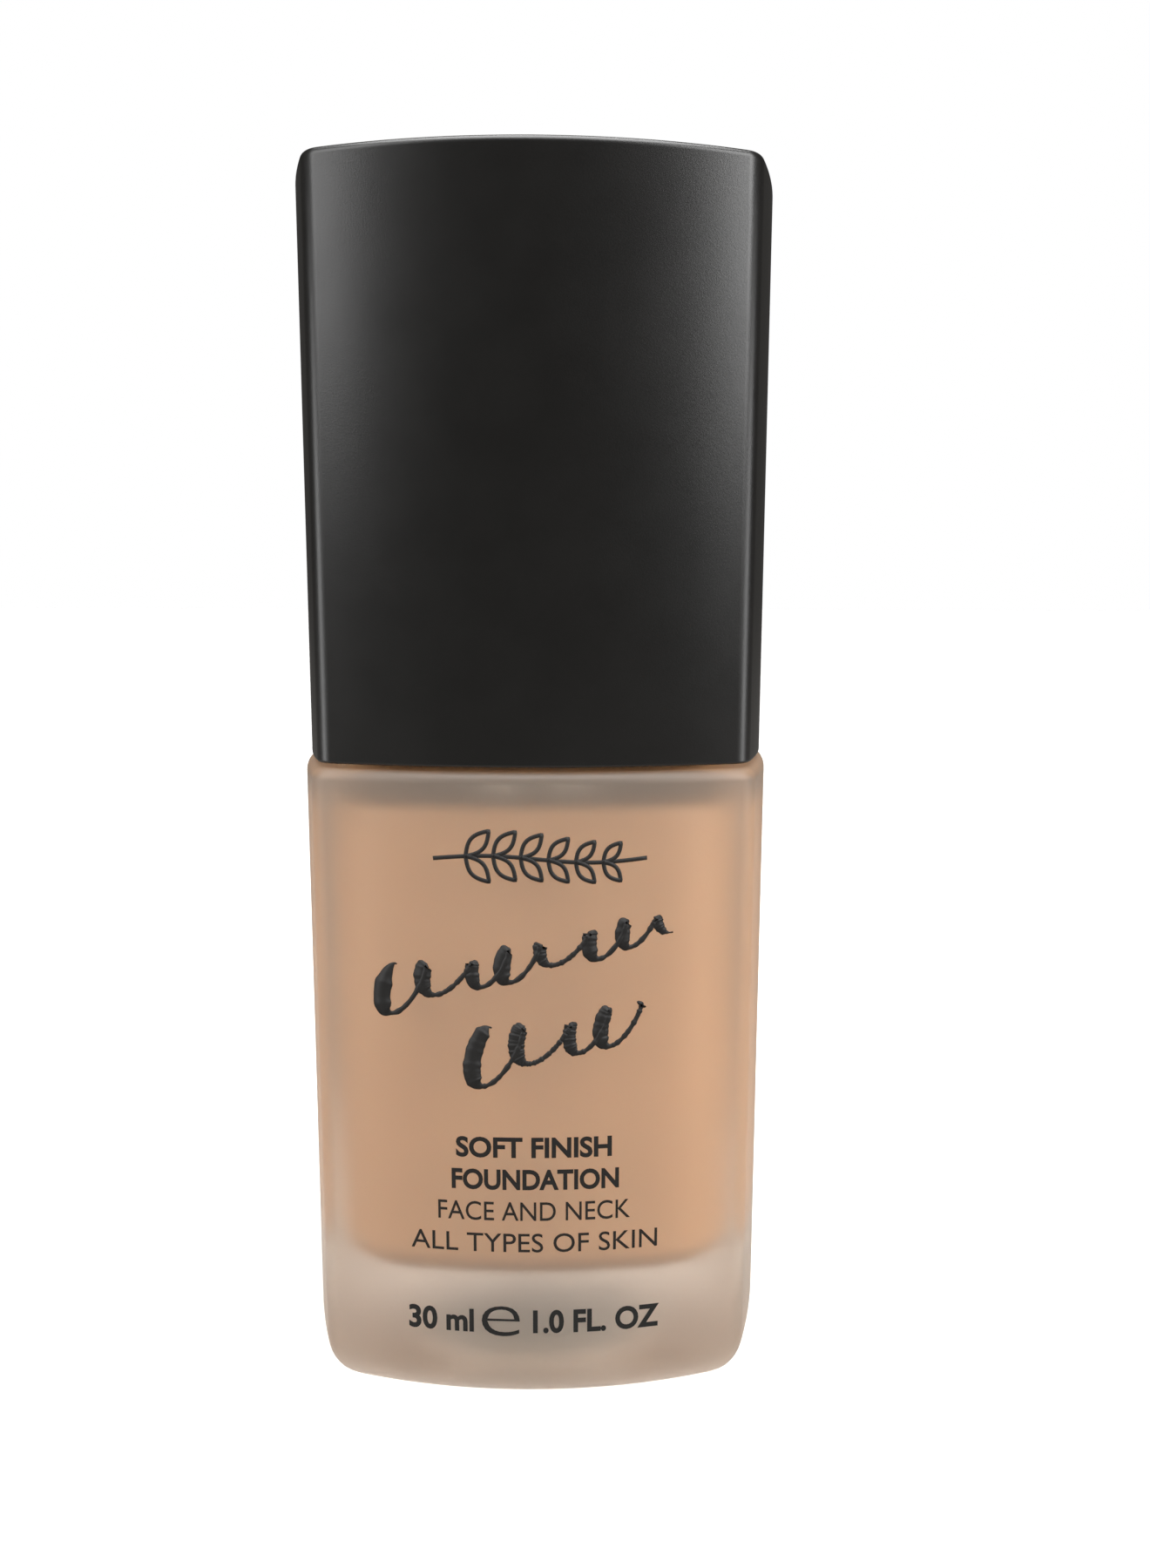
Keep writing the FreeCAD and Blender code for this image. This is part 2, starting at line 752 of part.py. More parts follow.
def make_collar_shell():
    """The smooth cover over the collar, turned in at the top round the actuator."""
    bottom = f"({SHOULDER} + Dims.collar_gap)"
    body = new_body("collar_shell", bottom)
    shelf = f"({LEDGE_TOP} - {bottom})"
    top = f"({RIM_TOP} - {bottom})"
    under_rim = f"({top} - Dims.shell_wall)"
    shell = turn(
        body,
        [
            (COLLAR_R, "0"),
            (SHELL_R, "0"),
            (SHELL_R, top),
            (MOUTH_R, top),
            (MOUTH_R, f"{shelf} + Dims.press_gap"),
            (f"{MOUTH_R} + Dims.shell_wall", f"{shelf} + Dims.press_gap"),
            (f"{MOUTH_R} + Dims.shell_wall", under_rim),
            (COLLAR_R, under_rim),
        ],
        "cover",
    )
    rim = level_edge(value(top), least_reach=value(SHELL_R) - 1e-3)
    round_edges(body, shell, "Dims.rim_round", rim, "rim")
    return body


def make_actuator_shell():
    """The finger button: a cup with a dished top and a round hole for the spout."""
    body = new_body("actuator_shell", ACTUATOR_BOTTOM)
    top = f"({ACTUATOR_TOP} - {ACTUATOR_BOTTOM})"
    inner = "(Dims.actuator_radius - Dims.actuator_wall)"
    ceiling = f"({top} - Dims.actuator_top - Dims.finger_dish)"
    button = turn(
        body,
        [
            (inner, "0"),
            ("Dims.actuator_radius", "0"),
            ("Dims.actuator_radius", top),
            ("0", top),
            ("0", ceiling),
            (inner, ceiling),
        ],
        "button",
    )
    crown = level_edge(value(top))
    round_edges(body, button, "Dims.actuator_round", crown, "crown")
    # The finger dish is a shallow part of a large ball.
    turn_dish(body, top)
    hole = circle(
        body,
        "spout_outline",
        "Dims.spout_radius",
        "XZ_Plane",
        up=f"{SPOUT_AXIS} - {ACTUATOR_BOTTOM}",
    )
    pocket(body, hole, "2 * Dims.actuator_radius", "spout_hole", along=True)
    return body


def turn_dish(body, top):
    """Cuts a shallow round dish: its ball's radius follows from the dish's own
    radius and depth."""
    ball = "((Dims.dish_radius ^ 2 + Dims.finger_dish ^ 2) / (2 * Dims.finger_dish))"
    sketch = new_sketch(body, "dish_outline", "XZ_Plane")
    radius = value(ball)
    level = value(top) + radius - value("Dims.finger_dish")
    centre = FreeCAD.Vector(0, level, 0)
    half = math.asin(value("Dims.dish_radius") / radius)
    ring = Part.Circle(centre, FreeCAD.Vector(0, 0, 1), radius)
    arc = Part.ArcOfCircle(ring, -math.pi / 2, -math.pi / 2 + half)
    edge = FreeCAD.Vector(value("Dims.dish_radius"), value(top), 0)
    lowest = FreeCAD.Vector(0, level - radius, 0)
    middle = FreeCAD.Vector(0, value(top), 0)
    sketch.addGeometry(arc, False)
    sketch.addGeometry(Part.LineSegment(edge, middle), False)
    sketch.addGeometry(Part.LineSegment(middle, lowest), False)
    sketch.addConstraint(Sketcher.Constraint("Coincident", 0, 2, 1, 1))
    sketch.addConstraint(Sketcher.Constraint("Coincident", 1, 2, 2, 1))
    sketch.addConstraint(Sketcher.Constraint("Coincident", 2, 2, 0, 1))
    hold_point(sketch, 1, 1, "Dims.dish_radius", top)
    hold_point(sketch, 2, 1, "0", top)
    sketch.addConstraint(Sketcher.Constraint("PointOnObject", 2, 2, -2))
    sketch.addConstraint(Sketcher.Constraint("PointOnObject", 0, 3, -2))
    bind(sketch, Sketcher.Constraint("Radius", 0, radius), ball)
    dish = from_profile(body, "Groove", "dish", sketch)
    dish.ReferenceAxis = (sketch, ["V_Axis"])
    dish.Angle = 360.0


def make_actuator_core():
    """The inner part: a socket pressed on the stem and a spout pointing forward."""
    bottom = f"({ACTUATOR_BOTTOM} + Dims.actuator_overlap)"
    body = new_body("actuator_core", bottom)
    ceiling = f"({ACTUATOR_TOP} - Dims.actuator_top - Dims.finger_dish - {bottom})"
    axis = f"({SPOUT_AXIS} - {bottom})"
    turn(
        body,
        [
            ("Dims.stem_radius", "0"),
            (CORE_R, "0"),
            (CORE_R, ceiling),
            ("0", ceiling),
            ("0", f"{axis} + Dims.channel_radius + Dims.channel_wall"),
            (STEM_BORE_R, f"{axis} + Dims.channel_radius + Dims.channel_wall"),
            (STEM_BORE_R, f"{STEM_TOP} - {bottom}"),
            ("Dims.stem_radius", f"{STEM_TOP} - {bottom}"),
        ],
        "socket",
    )
    reach = f"({SHELL_R} - Dims.spout_setback)"
    # The spout grows from inside the socket's wall, so that the socket stays open.
    start = "(Dims.stem_radius + Dims.core_wall / 2)"
    spout = circle(body, "spout_outline", "Dims.spout_radius", "XZ_Plane", start, up=axis)
    pad(body, spout, f"{reach} - {start}", "spout")
    tip = circle(body, "tip_outline", "Dims.nozzle_radius", "XZ_Plane", reach, up=axis)
    pocket(body, tip, "Dims.nozzle_length", "nozzle_seat")
    channel = circle(body, "channel_outline", "Dims.channel_radius", "XZ_Plane", reach, up=axis)
    pocket(body, channel, reach, "channel")
    return body


def make_nozzle_insert():
    """The small tube in the spout's tip, flush with it, with a fine orifice."""
    body = new_body("nozzle_insert", SPOUT_AXIS)
    reach = f"({SHELL_R} - Dims.spout_setback)"
    start = f"({reach} - Dims.nozzle_length)"
    plug = circle(body, "plug_outline", "Dims.nozzle_radius", "XZ_Plane", start)
    pad(body, plug, "Dims.nozzle_length", "plug")
    orifice = circle(body, "orifice_outline", "Dims.orifice_radius", "XZ_Plane", reach)
    pocket(body, orifice, "Dims.nozzle_length + Dims.nozzle_radius", "orifice")
    return body


def make_overcap_shell():
    """The tall outer cap, open underneath, as wide as the bottle less its setback."""
    body = new_body("overcap_shell", CAP_BOTTOM)
    block = pad(body, pillow(body, "cap_outline", CAP_WIDTH, "Dims.face_bulge"), "Dims.cap_height")
    corners = round_edges(body, block, "Dims.corner_round", upright(), "corners")
    top = level_edge(value("Dims.cap_height"))
    round_edges(body, corners, "Dims.cap_edge_round", top, "top_edge")
    depth = "(Dims.cap_height - Dims.cap_top_wall)"
    hollow = pillow(body, "hollow_outline", CAP_BORE_WIDTH, "Dims.face_bulge")
    cut = pocket(body, hollow, depth, "hollow", along=True)
    inner_reach = (value(CAP_BORE_WIDTH) / 2 - value("Dims.face_bulge")) * math.sqrt(2)
    inner_corners = upright(inner_reach - NUDGE, inner_reach + NUDGE)
    round_edges(body, cut, "Dims.cap_edge_round", inner_corners, "inner_corners")
    return body


def make_overcap_liner():
    """A plate across the cap's mouth with a sleeve whose ribs grip the collar."""
    bottom = f"({CAP_BOTTOM} + Dims.liner_recess)"
    body = new_body("overcap_liner", bottom)
    plate = pillow(body, "plate_outline", CAP_BORE_WIDTH, "Dims.face_bulge")
    block = pad(body, plate, "Dims.liner_flange", "plate")
    round_edges(body, block, "Dims.cap_edge_round", upright(), "plate_corners")
    turn(
        body,
        [
            (RIB_R, "0"),
            (SLEEVE_R, "0"),
            (SLEEVE_R, "Dims.sleeve_height"),
            (RIB_R, "Dims.sleeve_height"),
        ],
        "sleeve",
    )
    bore = circle(body, "bore_outline", SLEEVE_BORE_R)
    pocket(body, bore, "Dims.sleeve_height", "bore", along=True)
    half = "(Dims.rib_width / 2)"
    rib = outline(
        body,
        "rib_outline",
        [
            (RIB_R, f"-{half}"),
            (f"{SLEEVE_BORE_R} + Dims.sleeve_wall / 2", f"-{half}"),
            (f"{SLEEVE_BORE_R} + Dims.sleeve_wall / 2", half),
            (RIB_R, half),
        ],
        "XY_Plane",
    )
    ridge = pad(body, rib, "Dims.sleeve_height", "rib")
    doc.recompute()
    ribs = body.newObject("PartDesign::PolarPattern", "ribs")
    ribs.Originals = [ridge]
    ribs.Axis = (rib, ["N_Axis"])
    ribs.Angle = 360.0
    ribs.setExpression("Occurrences", "Dims.rib_count")
    body.Tip = ribs
    return body


SUBPARTS = [
    make_glass_bottle(),
    make_base_label(),
    make_foundation_liquid(),
    make_neck_gasket(),
    make_pump_housing(),
    make_dip_tube(),
    make_ball_retainer(),
    make_inlet_ball(),
    make_return_spring(),
    make_lock_ring(),
    make_stem(),
    make_piston_rod(),
    make_piston_seal(),
    make_screw_collar(),
    make_collar_shell(),
    make_actuator_shell(),
    make_actuator_core(),
    make_nozzle_insert(),
    make_overcap_shell(),
    make_overcap_liner(),
]
doc.recompute()

for item in doc.Objects:
    if {"Invalid", "Error"} & set(item.State):
        raise RuntimeError(f"{item.Label} failed: {item.State}")
for item in SUBPARTS:
    if item.Shape.isNull() or not item.Shape.isValid() or len(item.Shape.Solids) != 1:
        raise RuntimeError(f"{item.Label} isn't one valid solid")

os.makedirs("parts", exist_ok=True)
for item in SUBPARTS:
    item.Shape.exportStep(f"parts/{item.Label}.step")
    print(f"{item.Label:20s} {item.Shape.Volume:10.2f} mm3  {item.Shape.BoundBox}")
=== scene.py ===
import json
import logging
import math
from dataclasses import dataclass, field
from enum import Enum

import bpy
import numpy as np
from mathutils import Matrix, Vector


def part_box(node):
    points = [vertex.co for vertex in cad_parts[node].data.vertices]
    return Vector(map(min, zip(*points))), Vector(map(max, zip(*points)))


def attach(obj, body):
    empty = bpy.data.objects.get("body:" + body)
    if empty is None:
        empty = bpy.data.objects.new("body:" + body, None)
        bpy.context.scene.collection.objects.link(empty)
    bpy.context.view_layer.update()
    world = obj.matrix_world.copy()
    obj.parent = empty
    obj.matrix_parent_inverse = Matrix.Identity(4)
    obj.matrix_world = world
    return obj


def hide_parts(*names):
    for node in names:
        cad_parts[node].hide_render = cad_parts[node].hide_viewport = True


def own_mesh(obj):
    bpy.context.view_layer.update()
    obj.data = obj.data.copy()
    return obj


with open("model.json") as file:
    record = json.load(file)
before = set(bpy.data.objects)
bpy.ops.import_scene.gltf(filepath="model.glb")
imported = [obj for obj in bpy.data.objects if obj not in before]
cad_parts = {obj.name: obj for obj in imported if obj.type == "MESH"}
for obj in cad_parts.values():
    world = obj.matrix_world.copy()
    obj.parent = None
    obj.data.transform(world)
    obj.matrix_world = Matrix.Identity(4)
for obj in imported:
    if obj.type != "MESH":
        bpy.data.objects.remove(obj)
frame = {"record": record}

MM = 0.001
LOG = logging.getLogger("foundation_bottle")
# Radius at which rings round the axis end, before a fan of triangles closes them.
HUB = 0.4 * MM
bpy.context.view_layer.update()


# ---------------------------------------------------------------- colours and nodes


def linear(code: str) -> tuple[float, float, float, float]:
    """Turns an sRGB hex colour into the linear colour that shaders read.

    Args:
        code: six hex digits, red first.

    Returns:
        Linear red, green and blue, with an alpha of one.
    """
    parts = np.array([int(code[i : i + 2], 16) for i in (0, 2, 4)]) / 255
    bent = np.where(parts <= 0.04045, parts / 12.92, ((parts + 0.055) / 1.055) ** 2.4)
    return (*(float(part) for part in bent), 1.0)


def add_node(tree: bpy.types.NodeTree, kind: str, settings: dict | None = None,
             links: dict | None = None) -> bpy.types.Node:
    """Adds a shader node with its settings and incoming links.

    Args:
        tree: the node tree to add to.
        kind: the node's type without its ShaderNode prefix.
        settings: property or input names with the values to set.
        links: input names with the output sockets that feed them.

    Returns:
        The new node.
    """
    node = tree.nodes.new(f"ShaderNode{kind}")
    for name, setting in (settings or {}).items():
        if isinstance(name, int) or name in node.inputs:
            node.inputs[name].default_value = setting
        else:
            setattr(node, name, setting)
    for name, source in (links or {}).items():
        tree.links.new(source, node.inputs[name])
    return node


class Grain(Enum):
    """How a surface was made: the scale of its pattern along each axis."""

    MOULDED = (1.0, 1.0, 1.0)
    # Die lines run along the wire, so the pattern is stretched on one axis.
    DRAWN = (1.0, 1.0, 0.15)


@dataclass(frozen=True)
class Finish:
    """A surface finish on the Principled shader, with a grain of a real size."""

    name: str
    colour: str
    roughness: float
    grain: Grain = Grain.MOULDED
    grain_mm: float = 0.4
    relief_mm: float = 0.004
    roughness_swing: float = 0.06
    shade_swing: float = 0.06
    ior: float = 1.5
    metallic: float = 0.0
    subsurface: float = 0.0
    subsurface_mm: float = 1.0
    coat: float = 0.0
    drift_grains: float = 40.0

    def material(self) -> bpy.types.Material:
        """Builds the material: colour, roughness and bump follow one grain pattern.

        Returns:
            The finished material, which reads Object coordinates.
        """
        made = bpy.data.materials.new(self.name)
        made.use_nodes = True
        tree = made.node_tree
        tree.nodes.clear()
        place = add_node(tree, "TexCoord").outputs["Object"]
        if self.grain is not Grain.MOULDED:
            place = add_node(tree, "Mapping", {"Scale": self.grain.value},
                             {"Vector": place}).outputs["Vector"]
        fine = add_node(tree, "TexNoise",
                        {"Scale": 1 / (self.grain_mm * MM), "Detail": 3.0, "Roughness": 0.6},
                        {"Vector": place}).outputs["Fac"]
        # Moulding leaves slow changes of gloss and shade, many grains long.
        drift = self.drift_grains * self.grain_mm * MM
        slow = add_node(tree, "TexNoise", {"Scale": 1 / drift, "Detail": 2.0},
                        {"Vector": place}).outputs["Fac"]
        gloss = add_node(tree, "MapRange",
                         {"To Min": self.roughness - self.roughness_swing,
                          "To Max": self.roughness + self.roughness_swing},
                         {"Value": slow}).outputs["Result"]
        pale = [min(1.0, part * (1 + self.shade_swing)) for part in linear(self.colour)[:3]]
        deep = [part * (1 - self.shade_swing) for part in linear(self.colour)[:3]]
        shade = add_node(tree, "ValToRGB", None, {"Fac": slow})
        shade.color_ramp.elements[0].color = (*deep, 1.0)
        shade.color_ramp.elements[1].color = (*pale, 1.0)
        shade.color_ramp.elements[0].position = 0.3
        shade.color_ramp.elements[1].position = 0.7
        bump = add_node(tree, "Bump", {"Strength": 1.0, "Distance": self.relief_mm * MM},
                        {"Height": fine})
        shader = add_node(tree, "BsdfPrincipled", {"Metallic": self.metallic},
                          {"Base Color": shade.outputs["Color"], "Roughness": gloss,
                           "Normal": bump.outputs["Normal"]})
        if not self.metallic:
            shader.inputs["IOR"].default_value = self.ior
        if self.subsurface:
            shader.inputs["Subsurface Weight"].default_value = self.subsurface
            shader.inputs["Subsurface Radius"].default_value = (1.0, 0.6, 0.45)
            shader.inputs["Subsurface Scale"].default_value = self.subsurface_mm * MM
        if self.coat:
            shader.inputs["Coat Weight"].default_value = self.coat
            shader.inputs["Coat Roughness"].default_value = 0.08
        add_node(tree, "OutputMaterial", None, {"Surface": shader.outputs["BSDF"]})
        return made


@dataclass(frozen=True)
class Glass:
    """Soda-lime glass, either as blown or with its outside etched in acid."""

    name: str
    roughness: float
    colour: str = "F6F4F1"
    clear_share: float = 1.0
    relief_mm: float = 0.0
    ior: float = 1.52
    lets_lamps_through: float = 0.85
    tooth_mm: float = 0.2
    haze_mm: float = 9.0

    def material(self) -> bpy.types.Material:
        """Builds glass that lets the lamps light what is behind it.

        Returns:
            The finished material.
        """
        made = bpy.data.materials.new(self.name)
        made.use_nodes = True
        tree = made.node_tree
        tree.nodes.clear()
        place = add_node(tree, "TexCoord").outputs["Object"]
        # Acid leaves a fine tooth and a much slower unevenness of its haze.
        slow = add_node(tree, "TexNoise", {"Scale": 1 / (self.haze_mm * MM), "Detail": 3.0},
                        {"Vector": place}).outputs["Fac"]
        haze = add_node(tree, "MapRange",
                        {"To Min": self.roughness * 0.88, "To Max": self.roughness * 1.12},
                        {"Value": slow}).outputs["Result"]
        shader = add_node(tree, "BsdfPrincipled",
                          {"Base Color": linear(self.colour), "IOR": self.ior,
                           "Transmission Weight": self.clear_share}, {"Roughness": haze})
        if self.relief_mm:
            tooth = add_node(tree, "TexNoise",
                             {"Scale": 1 / (self.tooth_mm * MM), "Detail": 2.0},
                             {"Vector": place}).outputs["Fac"]
            bump = add_node(tree, "Bump", {"Distance": self.relief_mm * MM},
                            {"Height": tooth})
            tree.links.new(bump.outputs["Normal"], shader.inputs["Normal"])
        clear = add_node(tree, "BsdfTransparent")
        path = add_node(tree, "LightPath").outputs["Is Shadow Ray"]
        share = add_node(tree, "Math", {"operation": "MULTIPLY", 1: self.lets_lamps_through},
                         {0: path}).outputs["Value"]
        mix = add_node(tree, "MixShader", None,
                       {0: share, 1: shader.outputs["BSDF"], 2: clear.outputs["BSDF"]})
        add_node(tree, "OutputMaterial", None, {"Surface": mix.outputs["Shader"]})
        return made


# Acid-etched glass: the etched tooth blurs what lies behind and scatters some light back.
ETCHED_GLASS = Glass("acid_etched_glass", 0.48, "DCCAB8", clear_share=0.88,
                     relief_mm=0.004)
# Fire-polished glass inside the bottle, which the mould never touches.
CLEAR_GLASS = Glass("fire_polished_glass", 0.05)
# Foundation cream: opaque pigmented emulsion, in which light spreads a little.
FOUNDATION_CREAM = Finish("foundation_cream", "B48E68", 0.5, grain_mm=0.6, relief_mm=0.0,
                          shade_swing=0.05, subsurface=0.25, subsurface_mm=1.2, ior=1.45)
# ABS moulded against a spark-eroded cavity: satin black with a fine dry grain.
SATIN_ABS = Finish("satin_black_abs", "0C0B0A", 0.32, grain_mm=0.12, relief_mm=0.006,
                   roughness_swing=0.03, shade_swing=0.1)
# Polypropylene from a polished cavity: black with a soft gloss.
BLACK_POLYPROPYLENE = Finish("black_polypropylene", "161616", 0.32, grain_mm=0.5,
                             relief_mm=0.003)
# Gloss ABS over the collar: near a mirror, with faint flow marks.
GLOSS_ABS = Finish("gloss_black_abs", "0E0E0E", 0.14, grain_mm=1.2, relief_mm=0.002,
                   roughness_swing=0.03, coat=0.4)
# Natural polypropylene: milky and slightly see-through.
NATURAL_POLYPROPYLENE = Finish("natural_polypropylene", "E6E4DC", 0.38, grain_mm=0.5,
                               relief_mm=0.003, subsurface=0.5, subsurface_mm=1.5)
# Low-density polyethylene of the piston and the dip tube: waxy and soft.
WAXY_POLYETHYLENE = Finish("waxy_polyethylene", "EDEBE4", 0.45, grain_mm=0.6,
                           relief_mm=0.002, subsurface=0.6, subsurface_mm=2.0)
# Closed-cell foam of the gasket: cells of about 0.3 mm, dry and matte.
CELL_FOAM = Finish("cell_foam", "E9E7E1", 0.85, grain_mm=0.3, relief_mm=0.05)
# Stainless spring wire and bearing steel: bright, with lines from the die.
DRAWN_STAINLESS = Finish("drawn_stainless", "C9C7C2", 0.22, Grain.DRAWN, 0.15, 0.002,
                         metallic=1.0)
# Screen ink: opaque black that stands a little proud of the glass, half gloss.
SCREEN_INK = Finish("screen_ink", "0B0908", 0.6, grain_mm=0.25, relief_mm=0.002)
# Polypropylene label film: white, smooth and half gloss.
LABEL_FILM = Finish("label_film", "E8E6E1", 0.3, grain_mm=0.8, relief_mm=0.002)
# Painted floor of the studio: pale, even and matte.
STUDIO_PAINT = Finish("studio_paint", "F4F3F1", 0.7, grain_mm=4.0, relief_mm=0.0,
                      shade_swing=0.01)


# ---------------------------------------------------------------- surfaces


def surface(name: str, grid: np.ndarray, loop_rows: bool = False,
            pole_start: bool = False, pole_end: bool = False) -> bpy.types.Object:
    """Makes a smooth closed mesh from a grid of rings.

    Vertex (i, j) is point j of ring i, and every ring closes on itself. Quads join
    each ring to the next one. A pole closes an end ring with triangles to its mean.

    Args:
        name: the piece's name.
        grid: rings by points by three coordinates, in metres.
        loop_rows: joins the last ring to the first, as in a tube with a bore.
        pole_start: closes the first ring.
        pole_end: closes the last ring.

    Returns:
        The new object, at the origin, with its faces turned outwards.
    """
    rows, around, _ = grid.shape
    points = grid.reshape(-1, 3)
    index = np.arange(rows * around).reshape(rows, around)
    if loop_rows:
        index = np.vstack([index, index[:1]])
    low, high = index[:-1], index[1:]
    quads = np.stack([low, np.roll(low, -1, 1), np.roll(high, -1, 1), high], -1)
    quads = quads.reshape(-1, 4)
    fans = []
    for wanted, ring, order in ((pole_start, index[0], -1), (pole_end, index[-1], 1)):
        if wanted:
            pole = np.full(around, len(points))
            points = np.vstack([points, points[ring].mean(0)])
            fans.append(np.stack([ring, np.roll(ring, -1), pole][::order], -1))
    triangles = np.vstack(fans) if fans else np.zeros((0, 3), int)
    corners = np.vstack([quads[:, [0, 1, 2]], quads[:, [0, 2, 3]], triangles])
    a, b, c = (points[corners[:, i]] for i in range(3))
    if np.einsum("ij,ij->i", a, np.cross(b, c)).sum() < 0:
        quads, triangles = quads[:, ::-1], triangles[:, ::-1]
    mesh = bpy.data.meshes.new(name)
    mesh.vertices.add(len(points))
    mesh.vertices.foreach_set("co", points.astype(np.float32).ravel())
    loops = np.concatenate([quads.ravel(), triangles.ravel()])
    starts = np.concatenate([np.arange(len(quads)) * 4,
                             len(quads) * 4 + np.arange(len(triangles)) * 3])
    mesh.loops.add(len(loops))
    mesh.loops.foreach_set("vertex_index", loops.astype(np.int32))
    mesh.polygons.add(len(starts))
    mesh.polygons.foreach_set("loop_start", starts.astype(np.int32))
    mesh.update(calc_edges=True)
    mesh.validate()
    mesh.shade_smooth()
    made = bpy.data.objects.new(name, mesh)
    bpy.context.scene.collection.objects.link(made)
    flats = made.modifiers.new("flat_faces_stay_flat", "WEIGHTED_NORMAL")
    flats.keep_sharp = True
    return made


def rounded(corners: list[tuple], steps: int = 6) -> np.ndarray:
    """Rounds the corners of an outline with arcs that touch both of its sides.

    A corner (x, y, r) becomes an arc of radius r, whose centre lies on the corner's
    bisector at r over the sine of half its angle. A corner (x, y) stays sharp.

    Args:
        corners: the outline's corners in order.
        steps: segments in each arc.

    Returns:
        Points by two coordinates. The two ends are never rounded.
    """
    made = []
    for i, corner in enumerate(corners):
        here = np.array(corner[:2], float)
        radius = corner[2] if len(corner) > 2 else 0.0
        if radius == 0.0 or i in (0, len(corners) - 1):
            made.append(here[None])
            continue
        back = np.array(corners[i - 1][:2], float) - here
        ahead = np.array(corners[i + 1][:2], float) - here
        room = 0.49 * min(np.linalg.norm(back), np.linalg.norm(ahead))
        back /= np.linalg.norm(back)
        ahead /= np.linalg.norm(ahead)
        half = math.acos(np.clip(back @ ahead, -1, 1)) / 2
        reach = min(radius / math.tan(half), room)
        radius = reach * math.tan(half)
        middle = back + ahead
        centre = here + middle / np.linalg.norm(middle) * radius / math.sin(half)
        start = here + back * reach - centre
        turn = np.linspace(0, math.pi - 2 * half, steps + 1)[:, None]
        side = here + ahead * reach - centre
        across = side - start * (start @ side) / (start @ start)
        across *= np.linalg.norm(start) / np.linalg.norm(across)
        made.append(centre + np.cos(turn) * start + np.sin(turn) * across)
    return np.vstack(made)


def swept(radius: np.ndarray, height: np.ndarray, angle: np.ndarray) -> np.ndarray:
    """Rings about the Z axis: point (i, j) is (r cos t, r sin t, z).

    Args:
        radius: r for each ring, or for each of its points.
        height: z for each ring.
        angle: t for each point round a ring.

    Returns:
        A grid of rings.
    """
    level = height * np.ones_like(angle)
    return np.stack([radius * np.cos(angle), radius * np.sin(angle), level], -1)


def turned(profile: np.ndarray, around: int) -> np.ndarray:
    """Turns a profile about the Z axis, with evenly spaced points in each ring.

    Args:
        profile: points by radius and height.
        around: points in each ring.

    Returns:
        A grid of rings.
    """
    angle = np.linspace(0, 2 * math.pi, around, endpoint=False)
    return swept(profile[:, :1], profile[:, 1:], angle)


def shrinking(ring: np.ndarray, height: float) -> np.ndarray:
    """Seven ever smaller copies of a ring at one height, which fill a flat end."""
    rings = ring * np.linspace(1, 0.05, 8)[1:, None, None]
    rings[:, :, 2] = height
    return rings


